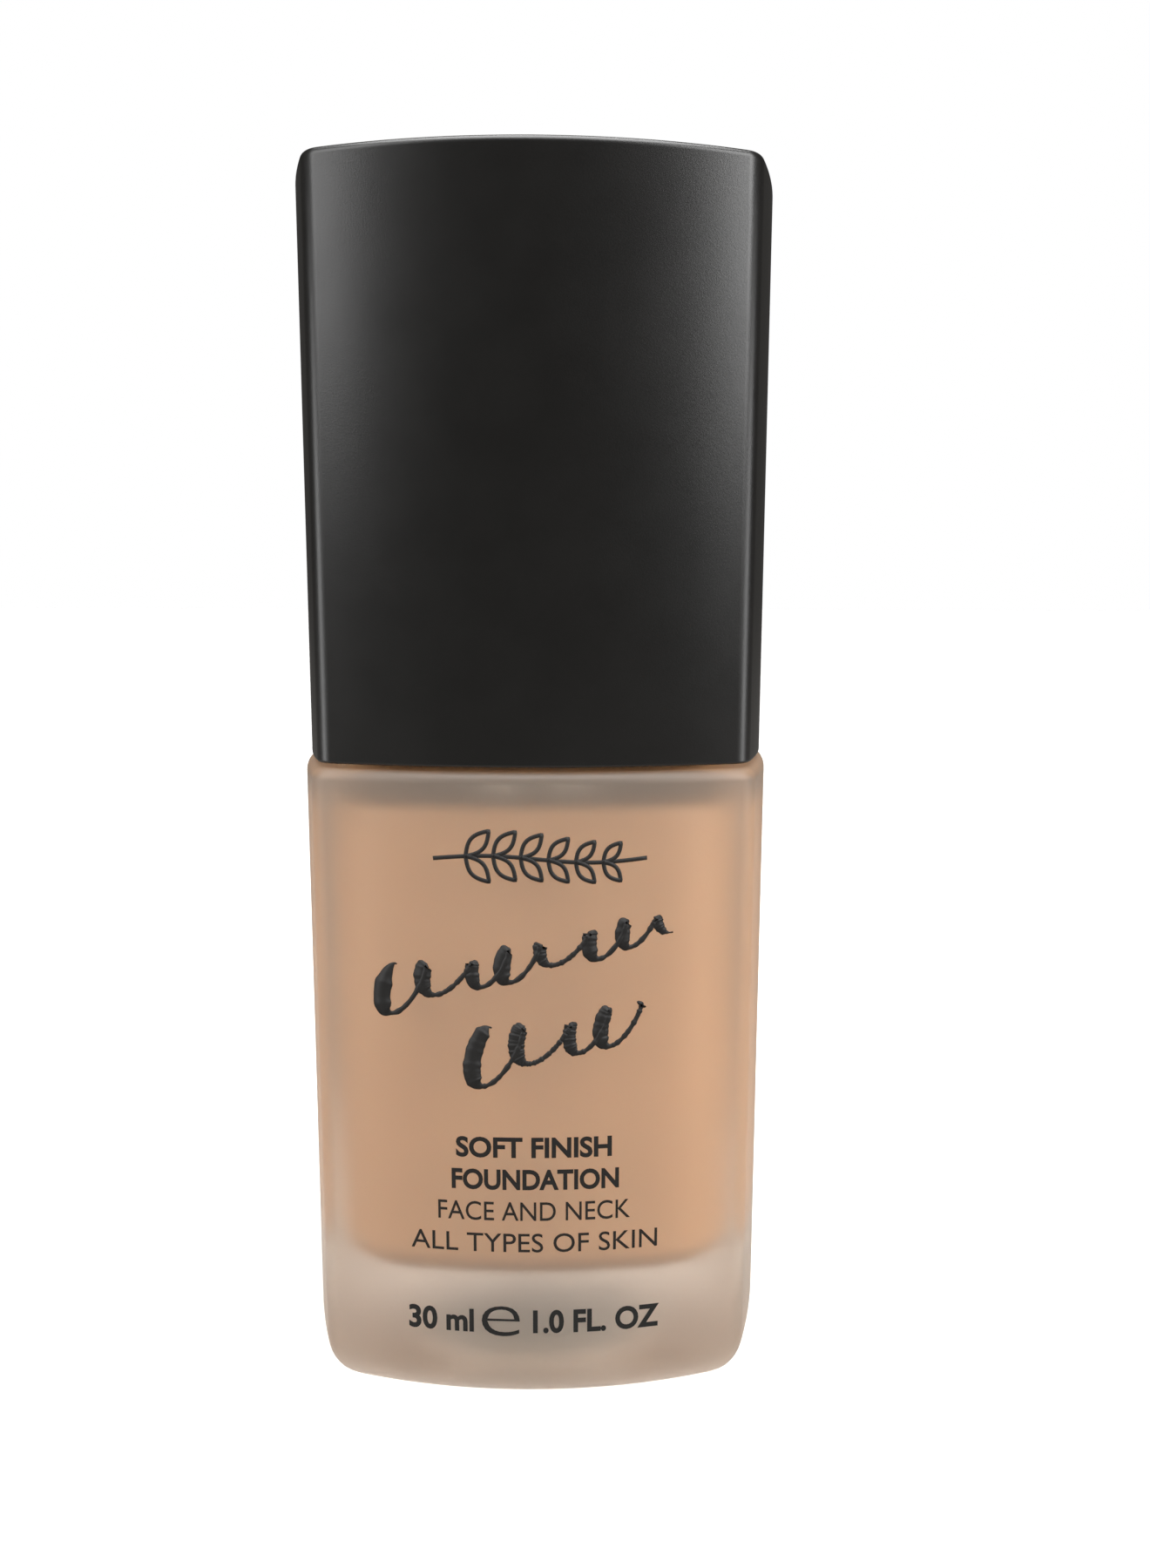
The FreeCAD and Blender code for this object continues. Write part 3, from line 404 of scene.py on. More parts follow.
@dataclass(frozen=True)
class PillowSection:
    """A square whose four sides bulge as arcs and whose corners are rounded."""

    half: float
    bulge: float
    corner: float
    least_corner: float = 0.9 * MM
    opening: float = 0.0
    side_points: int = 40
    corner_points: int = 12

    @property
    def face_radius(self) -> float:
        """Radius of a face's arc: (half chord squared + bulge squared) / (2 bulge)."""
        chord = self.half - self.bulge
        return (chord**2 + self.bulge**2) / (2 * self.bulge)

    @property
    def around(self) -> int:
        """Points in one ring."""
        return 4 * (self.side_points + self.corner_points)

    def face_depth(self, across: np.ndarray) -> np.ndarray:
        """Distance of a face from the axis plane, at a distance across the face."""
        centre = self.face_radius - self.half
        return np.sqrt(self.face_radius**2 - across**2) - centre

    def rings(self, inset: np.ndarray, height: np.ndarray) -> np.ndarray:
        """Rings of the section, each set in by its inset at its height.

        A face is an arc about a centre behind the axis, and a corner is an arc that
        touches two faces from inside. Setting in shortens both radii alike, down to
        the least corner, and then opens the corner by its share of the inset. The
        corner's centre (d, d) is at the face's radius less the corner's from the
        face's centre (-c, 0), which gives d.

        Args:
            inset: one distance for each ring.
            height: one height for each ring.

        Returns:
            A grid of rings, whose first point is beside the first corner.
        """
        inset = np.atleast_1d(inset)[:, None].astype(float)
        radius = self.face_radius - inset
        centre = self.face_radius - self.half
        corner = np.maximum(self.corner - inset, self.least_corner)
        corner = corner + self.opening * np.maximum(inset, 0)
        d = (np.sqrt(2 * (radius - corner) ** 2 - centre**2) - centre) / 2
        swing = np.arctan2(d, d + centre)
        along = np.linspace(-1, 1, self.side_points, endpoint=False)[None]
        face_x = radius * np.cos(along * swing) - centre
        face_y = radius * np.sin(along * swing)
        turn = np.linspace(0, 1, self.corner_points, endpoint=False)[None]
        bend = swing + turn * (math.pi / 2 - 2 * swing)
        x = np.hstack([face_x, d + corner * np.cos(bend)])
        y = np.hstack([face_y, d + corner * np.sin(bend)])
        quarters = [(x, y), (-y, x), (-x, -y), (y, -x)]
        x = np.hstack([quarter[0] for quarter in quarters])
        y = np.hstack([quarter[1] for quarter in quarters])
        level = np.atleast_1d(height)[:, None] * np.ones_like(x)
        return np.stack([x, y, level], -1)

    def to_circle(self, ring: np.ndarray, radius: np.ndarray, share: np.ndarray,
                  height: np.ndarray) -> np.ndarray:
        """Rings between one ring of the section and circles about the axis.

        Each point moves straight from its place on the ring to the circle's point in
        the same direction from the axis, by the ring's share.

        Args:
            ring: one ring of the section.
            radius: the circle's radius, for each new ring.
            share: 0 for the section's shape and 1 for the circle, for each new ring.
            height: the height of each new ring.

        Returns:
            A grid of rings.
        """
        angle = np.arctan2(ring[:, 1], ring[:, 0])
        radius, share = np.atleast_1d(radius)[:, None], np.atleast_1d(share)[:, None]
        x = ring[:, 0] * (1 - share) + radius * np.cos(angle) * share
        y = ring[:, 1] * (1 - share) + radius * np.sin(angle) * share
        level = np.atleast_1d(height)[:, None] * np.ones_like(x)
        return np.stack([x, y, level], -1)


def quarter(radius: float, steps: int) -> tuple[np.ndarray, np.ndarray]:
    """A quarter round from level to upright: how far in and how far up at each step."""
    turn = np.linspace(0, math.pi / 2, steps + 1)
    return radius * (1 - np.sin(turn)), radius * (1 - np.cos(turn))


@dataclass(frozen=True)
class Thread:
    """A right-hand thread ridge that climbs a pitch each turn from its start."""

    start: float
    pitch: float = 3.18 * MM
    turns: float = 1.75
    depth: float = 0.95 * MM
    root: float = 1.3 * MM
    crest: float = 0.5 * MM

    def rise(self, angle: np.ndarray, height: np.ndarray) -> np.ndarray:
        """How far the ridge stands out, at an angle about the axis and a height.

        The ridge's middle is at start + pitch (angle / full turn + n) for each whole
        turn n. Its flanks slope from the crest's width to the root's, and both ends
        fade in over a twelfth of a turn.

        Args:
            angle: angles from 0 to a full turn.
            height: heights, on a grid with the angles.

        Returns:
            Heights of the ridge, in metres.
        """
        total = np.zeros(np.broadcast(angle, height).shape)
        for turn in range(math.ceil(self.turns) + 1):
            travelled = angle / (2 * math.pi) + turn
            off = np.abs(height - self.start - self.pitch * travelled)
            flank = (self.root / 2 - off) / (self.root / 2 - self.crest / 2)
            ends = np.minimum(travelled, self.turns - travelled) * 12
            total = np.maximum(total, np.clip(flank, 0, 1) * np.clip(ends, 0, 1))
        return total * self.depth


# ---------------------------------------------------------------- placing pieces


@dataclass(frozen=True)
class Extent:
    """Where a CAD node lies, in metres."""

    node: str

    @property
    def bottom(self) -> float:
        """Its lowest height."""
        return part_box(self.node)[0].z

    @property
    def top(self) -> float:
        """Its highest height."""
        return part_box(self.node)[1].z

    @property
    def half(self) -> float:
        """Its reach to the right of the axis."""
        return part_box(self.node)[1].x

    @property
    def front(self) -> float:
        """Its reach towards the front."""
        return -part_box(self.node)[0].y


class Workshop:
    """Keeps one material for each finish and puts finished pieces on their bodies."""

    def __init__(self) -> None:
        """Starts with no materials."""
        self.materials: dict[str, bpy.types.Material] = {}
        self.slots = {entry["node"]: entry["material_slot"]
                      for entry in frame["record"]["subparts"]}
        self.bodies = {node: body for body, nodes in
                       frame["record"]["behaviour"]["bodies"].items() for node in nodes}

    def material(self, finish: Finish | Glass) -> bpy.types.Material:
        """The finish's material, made on first use."""
        if finish.name not in self.materials:
            self.materials[finish.name] = finish.material()
        return self.materials[finish.name]

    def place(self, piece: bpy.types.Object, node: str, *finishes: Finish | Glass,
              instead: bool = True) -> bpy.types.Object:
        """Dresses a piece, sets it on its node's body and logs it.

        Args:
            piece: the finished object.
            node: the CAD node that it stands for or belongs to.
            finishes: one finish for each of the mesh's material slots.
            instead: whether the piece hides the node.

        Returns:
            The piece.
        """
        for finish in finishes:
            piece.data.materials.append(self.material(finish))
        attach(piece, self.bodies[node])
        if instead:
            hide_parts(node)
        LOG.info("%s rides on %s", piece.name, self.bodies[node])
        return piece


# ---------------------------------------------------------------- bottle


@dataclass
class Bottle:
    """The glass bottle with its filling and base label. Lengths are in metres."""

    shop: Workshop
    face_bulge: float = 2.75 * MM
    corner: float = 2.0 * MM
    corner_opening: float = 0.6
    heel: float = 4.6 * MM
    shoulder_round: float = 0.9 * MM
    shoulder_rings: int = 6
    side_wall: float = 3.8 * MM
    base: float = 10.0 * MM
    roof: float = 2.8 * MM
    roof_round: float = 1.2 * MM
    cavity_bulge: float = 1.1 * MM
    cavity_corner: float = 6.0 * MM
    cavity_least_corner: float = 0.4 * MM
    cavity_heel: float = 2.0 * MM
    neck_radius: float = 7.8 * MM
    neck_height: float = 13.2 * MM
    neck_round: float = 1.0 * MM
    neck_foot: float = 1.4 * MM
    bore: float = 5.0 * MM
    bore_round: float = 0.6 * MM
    lip: float = 0.5 * MM
    thread_top: float = 1.6 * MM
    recess_radius: float = 9.0 * MM
    recess_depth: float = 0.7 * MM
    recess_draft: float = 0.15 * MM
    recess_round: float = 0.3 * MM
    stipples: int = 52
    stipple_height: float = 0.09 * MM
    barrel_radius: float = 4.5 * MM
    barrel_foot: float = 11.0 * MM
    socket_radius: float = 2.4 * MM
    socket_height: float = 8.6 * MM
    well: float = 0.35 * MM
    well_floor: float = 0.4 * MM
    contact: float = 0.02 * MM
    extent: Extent = field(default_factory=lambda: Extent("glass_bottle"))

    def __post_init__(self) -> None:
        """Works out the sections and levels that the pieces share."""
        self.section = PillowSection(self.extent.half, self.face_bulge, self.corner,
                                     opening=self.corner_opening)
        self.cavity = PillowSection(self.extent.half - self.side_wall, self.cavity_bulge,
                                    self.cavity_corner, self.cavity_least_corner)
        self.shoulder = self.extent.top - self.neck_height

    def base_rings(self) -> np.ndarray:
        """Rings of the underside: recess, stippled bearing ring and edge of the heel.

        The stippling is a cosine about the axis under a smooth window across the
        ring, so the glass rests on the crests.
        """
        edge = self.recess_radius + self.recess_draft
        recess = rounded([(HUB, self.recess_depth),
                          (self.recess_radius, self.recess_depth, self.recess_round),
                          (edge, 0.0, self.recess_round),
                          (self.recess_radius + 0.8 * MM, 0.0)])
        heel_ring = self.section.rings(np.array([self.heel]), np.array([0.0]))[0]
        angle = np.arctan2(heel_ring[:, 1], heel_ring[:, 0])
        inner = swept(recess[:, :1], recess[:, 1:], angle)
        share = np.linspace(1, 0, 14)[1:-1]
        radius = np.full(share.shape, recess[-1, 0])
        flat = self.section.to_circle(heel_ring, radius, share, np.zeros_like(share))
        window = np.sin(math.pi * share) ** 2
        crests = 0.5 - 0.5 * np.cos(self.stipples * angle)
        flat[:, :, 2] = self.stipple_height * window[:, None] * crests
        return np.concatenate([inner, flat])

    def outer_rings(self) -> np.ndarray:
        """Rings of the outside, from the heel up to the shoulder's flat top."""
        heel_in, heel_up = quarter(self.heel, 14)
        top_in, top_up = quarter(self.shoulder_round, 8)
        wall = np.linspace(self.heel, self.shoulder - self.shoulder_round, 12)[1:-1]
        inset = np.concatenate([heel_in, np.zeros_like(wall), top_in[::-1]])
        height = np.concatenate([heel_up, wall, self.shoulder - top_up[::-1]])
        return self.section.rings(inset, height)

    def neck_rings(self, ring: np.ndarray) -> np.ndarray:
        """Rings of the shoulder's flat, the threaded neck and its lip.

        Args:
            ring: the last ring of the outside.

        Returns:
            A grid of rings that goes on from the outside's.
        """
        foot = self.neck_radius + self.neck_foot
        share = np.linspace(0, 1, self.shoulder_rings + 1)[1:]
        flat = self.section.to_circle(ring, np.full(share.shape, foot), share,
                                      np.full(share.shape, self.shoulder))
        top = self.extent.top
        heights = np.linspace(self.shoulder + self.neck_round, top - self.lip, 110)
        foot_curve = rounded([(foot, self.shoulder),
                              (self.neck_radius, self.shoulder, self.neck_round),
                              (self.neck_radius, heights[0])])[1:-1]
        column = np.stack([np.full(heights.shape, self.neck_radius), heights], -1)
        profile = np.vstack([foot_curve, column])
        angle = np.arctan2(ring[:, 1], ring[:, 0])
        thread = Thread(top - self.thread_top - Thread.pitch * Thread.turns
                        - Thread.root / 2)
        rise = thread.rise(np.mod(angle, 2 * math.pi)[None], profile[:, 1:])
        neck = swept(profile[:, :1] + rise, profile[:, 1:], angle)
        # The lip is a little sharper on its inside.
        lip = rounded([(self.neck_radius, top - self.lip), (self.neck_radius, top, self.lip),
                       (self.bore, top, self.lip * 0.8), (self.bore, top - self.lip * 2)])[1:]
        return np.concatenate([flat, neck, swept(lip[:, :1], lip[:, 1:], angle)])

    def inner_rings(self, grow: float) -> np.ndarray:
        """Rings of the filling space, from its roof down to its floor.

        Args:
            grow: how far outside the space the rings lie.

        Returns:
            A grid of rings.
        """
        roof = self.shoulder - self.roof + grow
        floor = self.base - grow
        heel_in, heel_up = quarter(self.cavity_heel, 8)
        roof_in, roof_up = quarter(self.roof_round, 6)
        wall = np.linspace(roof - self.roof_round, floor + self.cavity_heel, 16)[1:-1]
        inset = np.concatenate([roof_in, np.zeros_like(wall), heel_in[::-1]])
        height = np.concatenate([roof - roof_up, wall, floor + heel_up[::-1]])
        return self.cavity.rings(inset - grow, height)

    def glass(self) -> None:
        """The bottle: outside, neck, bore and filling space in one closed mesh."""
        under = self.base_rings()
        outside = self.outer_rings()
        neck = self.neck_rings(outside[-1])
        inside = self.inner_rings(0.0)
        angle = np.arctan2(inside[0][:, 1], inside[0][:, 0])
        roof = self.shoulder - self.roof
        bore = rounded([(self.bore, self.extent.top - self.lip * 2),
                        (self.bore, roof, self.bore_round), (self.bore + 3 * MM, roof)])[1:]
        tube = swept(bore[:, :1], bore[:, 1:], angle)
        floor = shrinking(inside[-1], self.base)
        grid = np.concatenate([under, outside, neck, tube, inside, floor])
        piece = surface("etched_bottle", grid, pole_start=True, pole_end=True)
        # The acid reaches the outside up to the neck's foot. All else stays clear.
        etched = len(under) + len(outside) + self.shoulder_rings
        faces = np.zeros(len(piece.data.polygons), np.int32)
        faces[etched * self.section.around : (len(grid) - 1) * self.section.around] = 1
        piece.data.polygons.foreach_set("material_index", faces)
        self.shop.place(piece, "glass_bottle", ETCHED_GLASS, CLEAR_GLASS)

    def filling(self) -> None:
        """The cream, which coats the glass up to the roof and leaves the pump a well."""
        pump = Extent("pump_housing").bottom
        wall = self.inner_rings(self.contact)
        ring = wall[0]
        level = ring[0, 2]
        barrel = self.barrel_radius + self.well
        socket = self.socket_radius + self.well
        hose = Extent("dip_tube").half + self.well
        share = np.linspace(0, 1, 10)[1:]
        top = self.cavity.to_circle(ring, np.full(share.shape, barrel), share,
                                    np.full(share.shape, level))
        inner = rounded([(barrel, level), (barrel, pump + self.barrel_foot, 0.5 * MM),
                         (socket, pump + self.socket_height, 0.5 * MM),
                         (socket, pump - self.well, 0.4 * MM),
                         (hose, pump - self.well, 0.3 * MM),
                         (hose, self.base + self.well_floor + 0.2 * MM, 0.3 * MM),
                         (0.3 * MM, self.base + self.well_floor)])[1:]
        hole = swept(inner[:, :1], inner[:, 1:], np.arctan2(ring[:, 1], ring[:, 0]))
        floor = shrinking(wall[-1], wall[-1, 0, 2])
        grid = np.concatenate([hole[::-1], top[::-1], wall, floor])
        piece = surface("cream_filling", grid, pole_start=True, pole_end=True)
        self.shop.place(piece, "foundation_liquid", FOUNDATION_CREAM)

    def label(self) -> None:
        """The round label in the recess under the base, with rounded edges."""
        low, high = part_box("base_label")
        edge = 0.05 * MM
        profile = rounded([(0.3 * MM, low.z), (high.x, low.z, edge),
                           (high.x, high.z, edge), (0.3 * MM, high.z)], 3)
        piece = surface("base_sticker", turned(profile, 128), pole_start=True, pole_end=True)
        self.shop.place(piece, "base_label", LABEL_FILM)

    def build(self) -> None:
        """Builds every piece of the bottle."""
        self.glass()
        self.filling()
        self.label()


# ---------------------------------------------------------------- print on the front


@dataclass(frozen=True)
class BrushRow:
    """One row of brush loops. Lengths are in millimetres."""

    start: float
    length: float
    level: float
    loops: float
    size: float


@dataclass(frozen=True)
class PrintedLine:
    """One line of lettering, with the middle of its baseline. Lengths in millimetres."""

    name: str
    text: str
    across: float
    up: float
    capital: float
    width: float
    weight: float = 0.0


BRUSH_ROWS = (BrushRow(start=-11.0, length=21.4, level=33.4, loops=7.5, size=1.25),
              BrushRow(start=-4.2, length=12.0, level=28.5, loops=4.0, size=1.6))
PRINTED_LINES = (PrintedLine("print_finish", "SOFT FINISH", 0.0, 21.06, 1.5, 11.6, 0.03),
                 PrintedLine("print_product", "FOUNDATION", 0.1, 18.53, 1.5, 12.5, 0.03),
                 PrintedLine("print_use", "FACE AND NECK", 0.0, 16.02, 1.5, 14.4),
                 PrintedLine("print_skin", "ALL TYPES OF SKIN", 0.0, 13.5, 1.5, 18.6),
                 PrintedLine("print_metric", "30 ml", -7.1, 6.98, 1.75, 5.0, 0.03),
                 PrintedLine("print_estimated", "e", -2.55, 6.6, 3.9, 2.9, -0.015),
                 PrintedLine("print_ounces", "1.0 FL. OZ", 4.7, 6.98, 1.75, 9.6, 0.03))


@dataclass
class FrontPrint:
    """Screen print on the front face: a sprig, brush loops and plain words.

    A flat design with x across and z up is laid on the bulging face, whose distance
    from the axis comes from the bottle's section. Heights are above the base. The
    design's own lengths are in millimetres.
    """

    shop: Workshop
    bottle: Bottle
    ink: float = 0.03 * MM
    line: float = 0.3 * MM
    capital_share: float = 0.70
    stem_start: float = -7.2
    stem_length: float = 15.4
    stem_height: float = 43.6
    stem_wave: float = 0.25
    leaf_length: float = 2.5
    leaf_half_width: float = 0.55
    leaf_pairs: int = 6
    leaf_lean: float = 48.0
    leaf_shrink: float = 0.05

    def lay(self, flat: np.ndarray) -> np.ndarray:
        """Moves design points (across, up, out) onto the face.

        Args:
            flat: points by three coordinates, in metres.

        Returns:
            The points on the face, each out from it by its third coordinate.
        """
        depth = self.bottle.section.face_depth(flat[..., 0]) + flat[..., 2]
        return np.stack([flat[..., 0], -depth, flat[..., 1]], -1)

    def ribbon(self, name: str, path: np.ndarray, width: np.ndarray,
               closed: bool = False) -> None:
        """A flat stroke of ink along a path.

        Each cross section is a thin rectangle across the path's direction, as wide as
        the stroke there.

        Args:
            name: the piece's name.
            path: points by two coordinates, in metres.
            width: the stroke's width at each point, in metres.
            closed: joins the path's end to its start.
        """
        step = np.gradient(path, axis=0)
        if closed:
            step = np.roll(path, -1, 0) - np.roll(path, 1, 0)
        normal = np.stack([-step[:, 1], step[:, 0]], -1)
        normal /= np.linalg.norm(normal, axis=1)[:, None]
        left = path + normal * width[:, None] / 2
        right = path - normal * width[:, None] / 2
        low, high = np.full(len(path), -self.ink / 3), np.full(len(path), self.ink)
        sections = [np.c_[left, low], np.c_[right, low], np.c_[right, high], np.c_[left, high]]
        piece = surface(name, self.lay(np.stack(sections, 1)), loop_rows=closed,
                        pole_start=not closed, pole_end=not closed)
        self.shop.place(piece, "glass_bottle", SCREEN_INK, instead=False)

    def letter(self, line: PrintedLine) -> None:
        """Prints one line: its letters are stretched to size and laid on the face.

        Args:
            line: what it says, where it stands, and how large and bold it is.
        """
        curve = bpy.data.curves.new(line.name, "FONT")
        curve.body = line.text
        curve.offset = line.weight
        curve.extrude = 0.5
        curve.resolution_u = 5
        source = bpy.data.objects.new(line.name + "_curve", curve)
        bpy.context.scene.collection.objects.link(source)
        mesh = bpy.data.meshes.new_from_object(
            source.evaluated_get(bpy.context.evaluated_depsgraph_get()))
        bpy.data.objects.remove(source)
        points = np.empty(len(mesh.vertices) * 3)
        mesh.vertices.foreach_get("co", points)
        points = points.reshape(-1, 3)
        low, high = points.min(0), points.max(0)
        middle = (low[0] + high[0]) / 2
        flat = np.empty_like(points)
        flat[:, 0] = line.across + (points[:, 0] - middle) * line.width / (high[0] - low[0])
        flat[:, 1] = line.up + points[:, 1] * line.capital / self.capital_share
        flat *= MM
        flat[:, 2] = np.where(points[:, 2] > 0, self.ink, -self.ink / 3)
        mesh.vertices.foreach_set("co", self.lay(flat).astype(np.float32).ravel())
        mesh.name = line.name
        piece = bpy.data.objects.new(line.name, mesh)
        bpy.context.scene.collection.objects.link(piece)
        self.shop.place(piece, "glass_bottle", SCREEN_INK, instead=False)

    def sprig(self) -> None:
        """Thin-line sprig: a level stem with pairs of lens-shaped leaves.

        The stem is one wave of a flat sine. A leaf's two sides are sine arcs on either
        side of its own axis, and each pair is a little smaller than the one before.
        """
        s = np.linspace(0, 1, 40)
        wave = self.stem_height + self.stem_wave * np.sin(2 * math.pi * s)
        stem = np.stack([self.stem_start + self.stem_length * s, wave], -1)
        self.ribbon("sprig_stem", stem * MM, np.full(len(s), self.line))
        outline = np.concatenate([s, s[-2:0:-1]])
        side = np.concatenate([np.sin(math.pi * s), -np.sin(math.pi * s)[-2:0:-1]])
        leaf = np.stack([outline * self.leaf_length, side * self.leaf_half_width], -1)
        for number in range(2 * self.leaf_pairs):
            pair = number // 2
            lean = math.radians(self.leaf_lean if number % 2 else -self.leaf_lean)
            turn = np.array([[math.cos(lean), math.sin(lean)],
                             [-math.sin(lean), math.cos(lean)]])
            shape = leaf * (1 - self.leaf_shrink * pair) @ turn + stem[6 + 5 * pair]
            self.ribbon(f"sprig_leaf_{number}", shape * MM, np.full(len(shape), self.line),
                        closed=True)

    def flourish(self, number: int, row: BrushRow) -> None:
        """A row of brush loops that climbs to the right, drawn with one loaded brush.

        The path goes forward evenly while it circles, so it swings back at the bottom
        of each loop, and it leans with its height. The loops' pace and size both beat
        slowly, and the first loop is tall. The brush is wide on the way down and thin
        on the way up, and its edge is uneven by three fine sines.

        Args:
            number: the row's number, from the top.
            row: the row's place and size.
        """
        s = np.linspace(0, 1, 1200)
        turn = 2 * math.pi * row.loops * s
        phase = turn + 1.3 + 0.9 * np.sin(turn / 3.1)
        swell = row.size * (1 - 0.25 * s) * (1 + 0.25 * np.sin(turn / 2.6))
        swell += np.exp(-s * row.loops * 2.2)
        up = swell * np.sin(phase)
        along = row.start + row.length * s + 0.40 * swell * np.cos(phase) + 0.34 * up
        path = np.stack([along, row.level + 0.25 * row.length * s + up], -1)
        fall = -np.gradient(path[:, 1]) / np.linalg.norm(np.gradient(path, axis=0), axis=1)
        width = 0.36 + 0.80 * np.clip(fall, 0, 1) ** 1.3 * np.minimum(swell / row.size, 1.2)
        width += 0.04 * np.sin(310 * s) + 0.03 * np.sin(523 * s) + 0.02 * np.sin(811 * s)
        width *= np.clip(np.minimum(s, 1 - s) * 40, 0.3, 1)
        self.ribbon(f"brush_flourish_{number}", path * MM, width * MM)

    def build(self) -> None:
        """Builds the whole print."""
        self.sprig()
        for number, row in enumerate(BRUSH_ROWS):
            self.flourish(number, row)
        for line in PRINTED_LINES:
            self.letter(line)


# ---------------------------------------------------------------- overcap


@dataclass
class Overcap:
    """The tall outer cap and its ribbed liner. Lengths are in metres."""

    shop: Workshop
    face_bulge: float = 2.75 * MM
    corner: float = 2.0 * MM
    edge_round: float = 0.6 * MM
    wall: float = 1.6 * MM
    top_wall: float = 2.2 * MM
    inner_round: float = 0.6 * MM
    inner_corner: float = 1.0 * MM
    lip_round: float = 0.25 * MM
    crown: float = 0.12 * MM
    plate: float = 1.2 * MM
    plate_round: float = 0.25 * MM
    bore: float = 11.54 * MM
    rib_depth: float = 0.5 * MM
    rib_run: float = 0.8 * MM
    rib_share: float = 0.22
    rib_clear: float = 0.6 * MM
    ribs: int = 12
    sleeve_wall: float = 1.2 * MM
    sleeve_foot: float = 0.8 * MM

    def outer(self) -> None:
        """The satin shell: outside, rounded top edge, faint crown and the hollow."""
        extent = Extent("overcap_shell")
        section = PillowSection(extent.half, self.face_bulge, self.corner)
        hollow = PillowSection(extent.half - self.wall, self.face_bulge, self.inner_corner,
                               0.5 * MM)
        edge_in, edge_up = quarter(self.edge_round, 10)
        lip_in, lip_up = quarter(self.lip_round, 5)
        wall = np.linspace(extent.bottom + self.lip_round, extent.top - self.edge_round, 14)
        wall = wall[1:-1]
        edge_top = extent.top - self.crown
        inset = np.concatenate([lip_in, np.zeros_like(wall), edge_in[::-1]])
        height = np.concatenate([extent.bottom + lip_up, wall, edge_top - edge_up[::-1]])
        outside = section.rings(inset, height)
        # The crown is a shallow paraboloid that falls away towards the edge.
        scale = np.linspace(1, 0.03, 14)[1:]
        top = outside[-1] * scale[:, None, None]
        top[:, :, 2] = edge_top + self.crown * (1 - scale[:, None] ** 2)
        ceiling = extent.top - self.top_wall
        roof_in, roof_up = quarter(self.inner_round, 5)
        side = np.linspace(ceiling - self.inner_round, extent.bottom + self.lip_round, 10)[1:]
        inside = hollow.rings(np.concatenate([roof_in, np.zeros_like(side)]),
                              np.concatenate([ceiling - roof_up, side]))
        mouth = hollow.rings(np.array([-self.lip_round * 0.3, -self.lip_round]),
                             np.array([extent.bottom + self.lip_round * 0.3, extent.bottom]))
        under = shrinking(inside[0], ceiling)[::-1]
        grid = np.concatenate([under, inside, mouth, outside, top])
        piece = surface("satin_overcap", grid, pole_start=True, pole_end=True)
        self.shop.place(piece, "overcap_shell", SATIN_ABS)

    def liner(self) -> None:
        """Plate and sleeve. The bore's radius dips at each rib, by a raised cosine."""
        extent = Extent("overcap_liner")
        low, high = extent.bottom, extent.top
        section = PillowSection(extent.half - 0.02 * MM, self.face_bulge, self.inner_corner,
                                0.3 * MM)
        top = low + self.plate
        bevel = self.plate_round
        edge = section.rings(np.array([bevel, 0.0, 0.0, bevel]),
                             np.array([low, low + bevel, top - bevel, top]))
        ring = edge[-1]
        outer = self.bore + self.sleeve_wall
        foot = outer + self.sleeve_foot
        mouth_radius = self.bore + 0.5 * MM
        share = np.linspace(0, 1, 5)[1:]
        upper = section.to_circle(ring, np.full(4, foot), share, np.full(4, top))
        lower = section.to_circle(edge[0], np.full(4, mouth_radius), share, np.full(4, low))
        climb = rounded([(foot, top), (outer, top, 0.7 * MM), (outer, high, 0.3 * MM),
                         (self.bore, high, 0.3 * MM), (self.bore, high - 1.0 * MM)])[1:]
        fall = np.stack([np.full(14, self.bore),
                         np.linspace(high - 1.2 * MM, low + 0.4 * MM, 14)], -1)
        mouth = rounded([(self.bore, low + 0.4 * MM), (self.bore, low, 0.3 * MM),
                         (mouth_radius, low)])[1:-1]
        profile = np.vstack([climb, fall, mouth])
        angle = np.arctan2(ring[:, 1], ring[:, 0])
        beat = np.mod(angle * self.ribs / (2 * math.pi) + 0.5, 1) - 0.5
        near = np.clip(1 - np.abs(beat) * 2 / self.rib_share, 0, 1)
        # Ribs stand only on the bore, and fade out short of both of its ends.
        inside = (profile[:, 0] < self.bore + 1e-6)[:, None]
        ends = np.clip((profile[:, 1:] - low - self.rib_clear) / self.rib_run, 0, 1)
        ends *= np.clip((high - self.rib_clear - profile[:, 1:]) / self.rib_run, 0, 1)
        dip = self.rib_depth * (0.5 - 0.5 * np.cos(math.pi * near))[None] * inside * ends
        wall = swept(profile[:, :1] - dip, profile[:, 1:], angle)
        grid = np.concatenate([edge, upper, wall, lower[::-1]])
        piece = surface("ribbed_liner", grid, loop_rows=True)
        self.shop.place(piece, "overcap_liner", BLACK_POLYPROPYLENE)

    def build(self) -> None:
        """Builds both pieces of the overcap."""
        self.outer()
        self.liner()


# ---------------------------------------------------------------- turned pieces


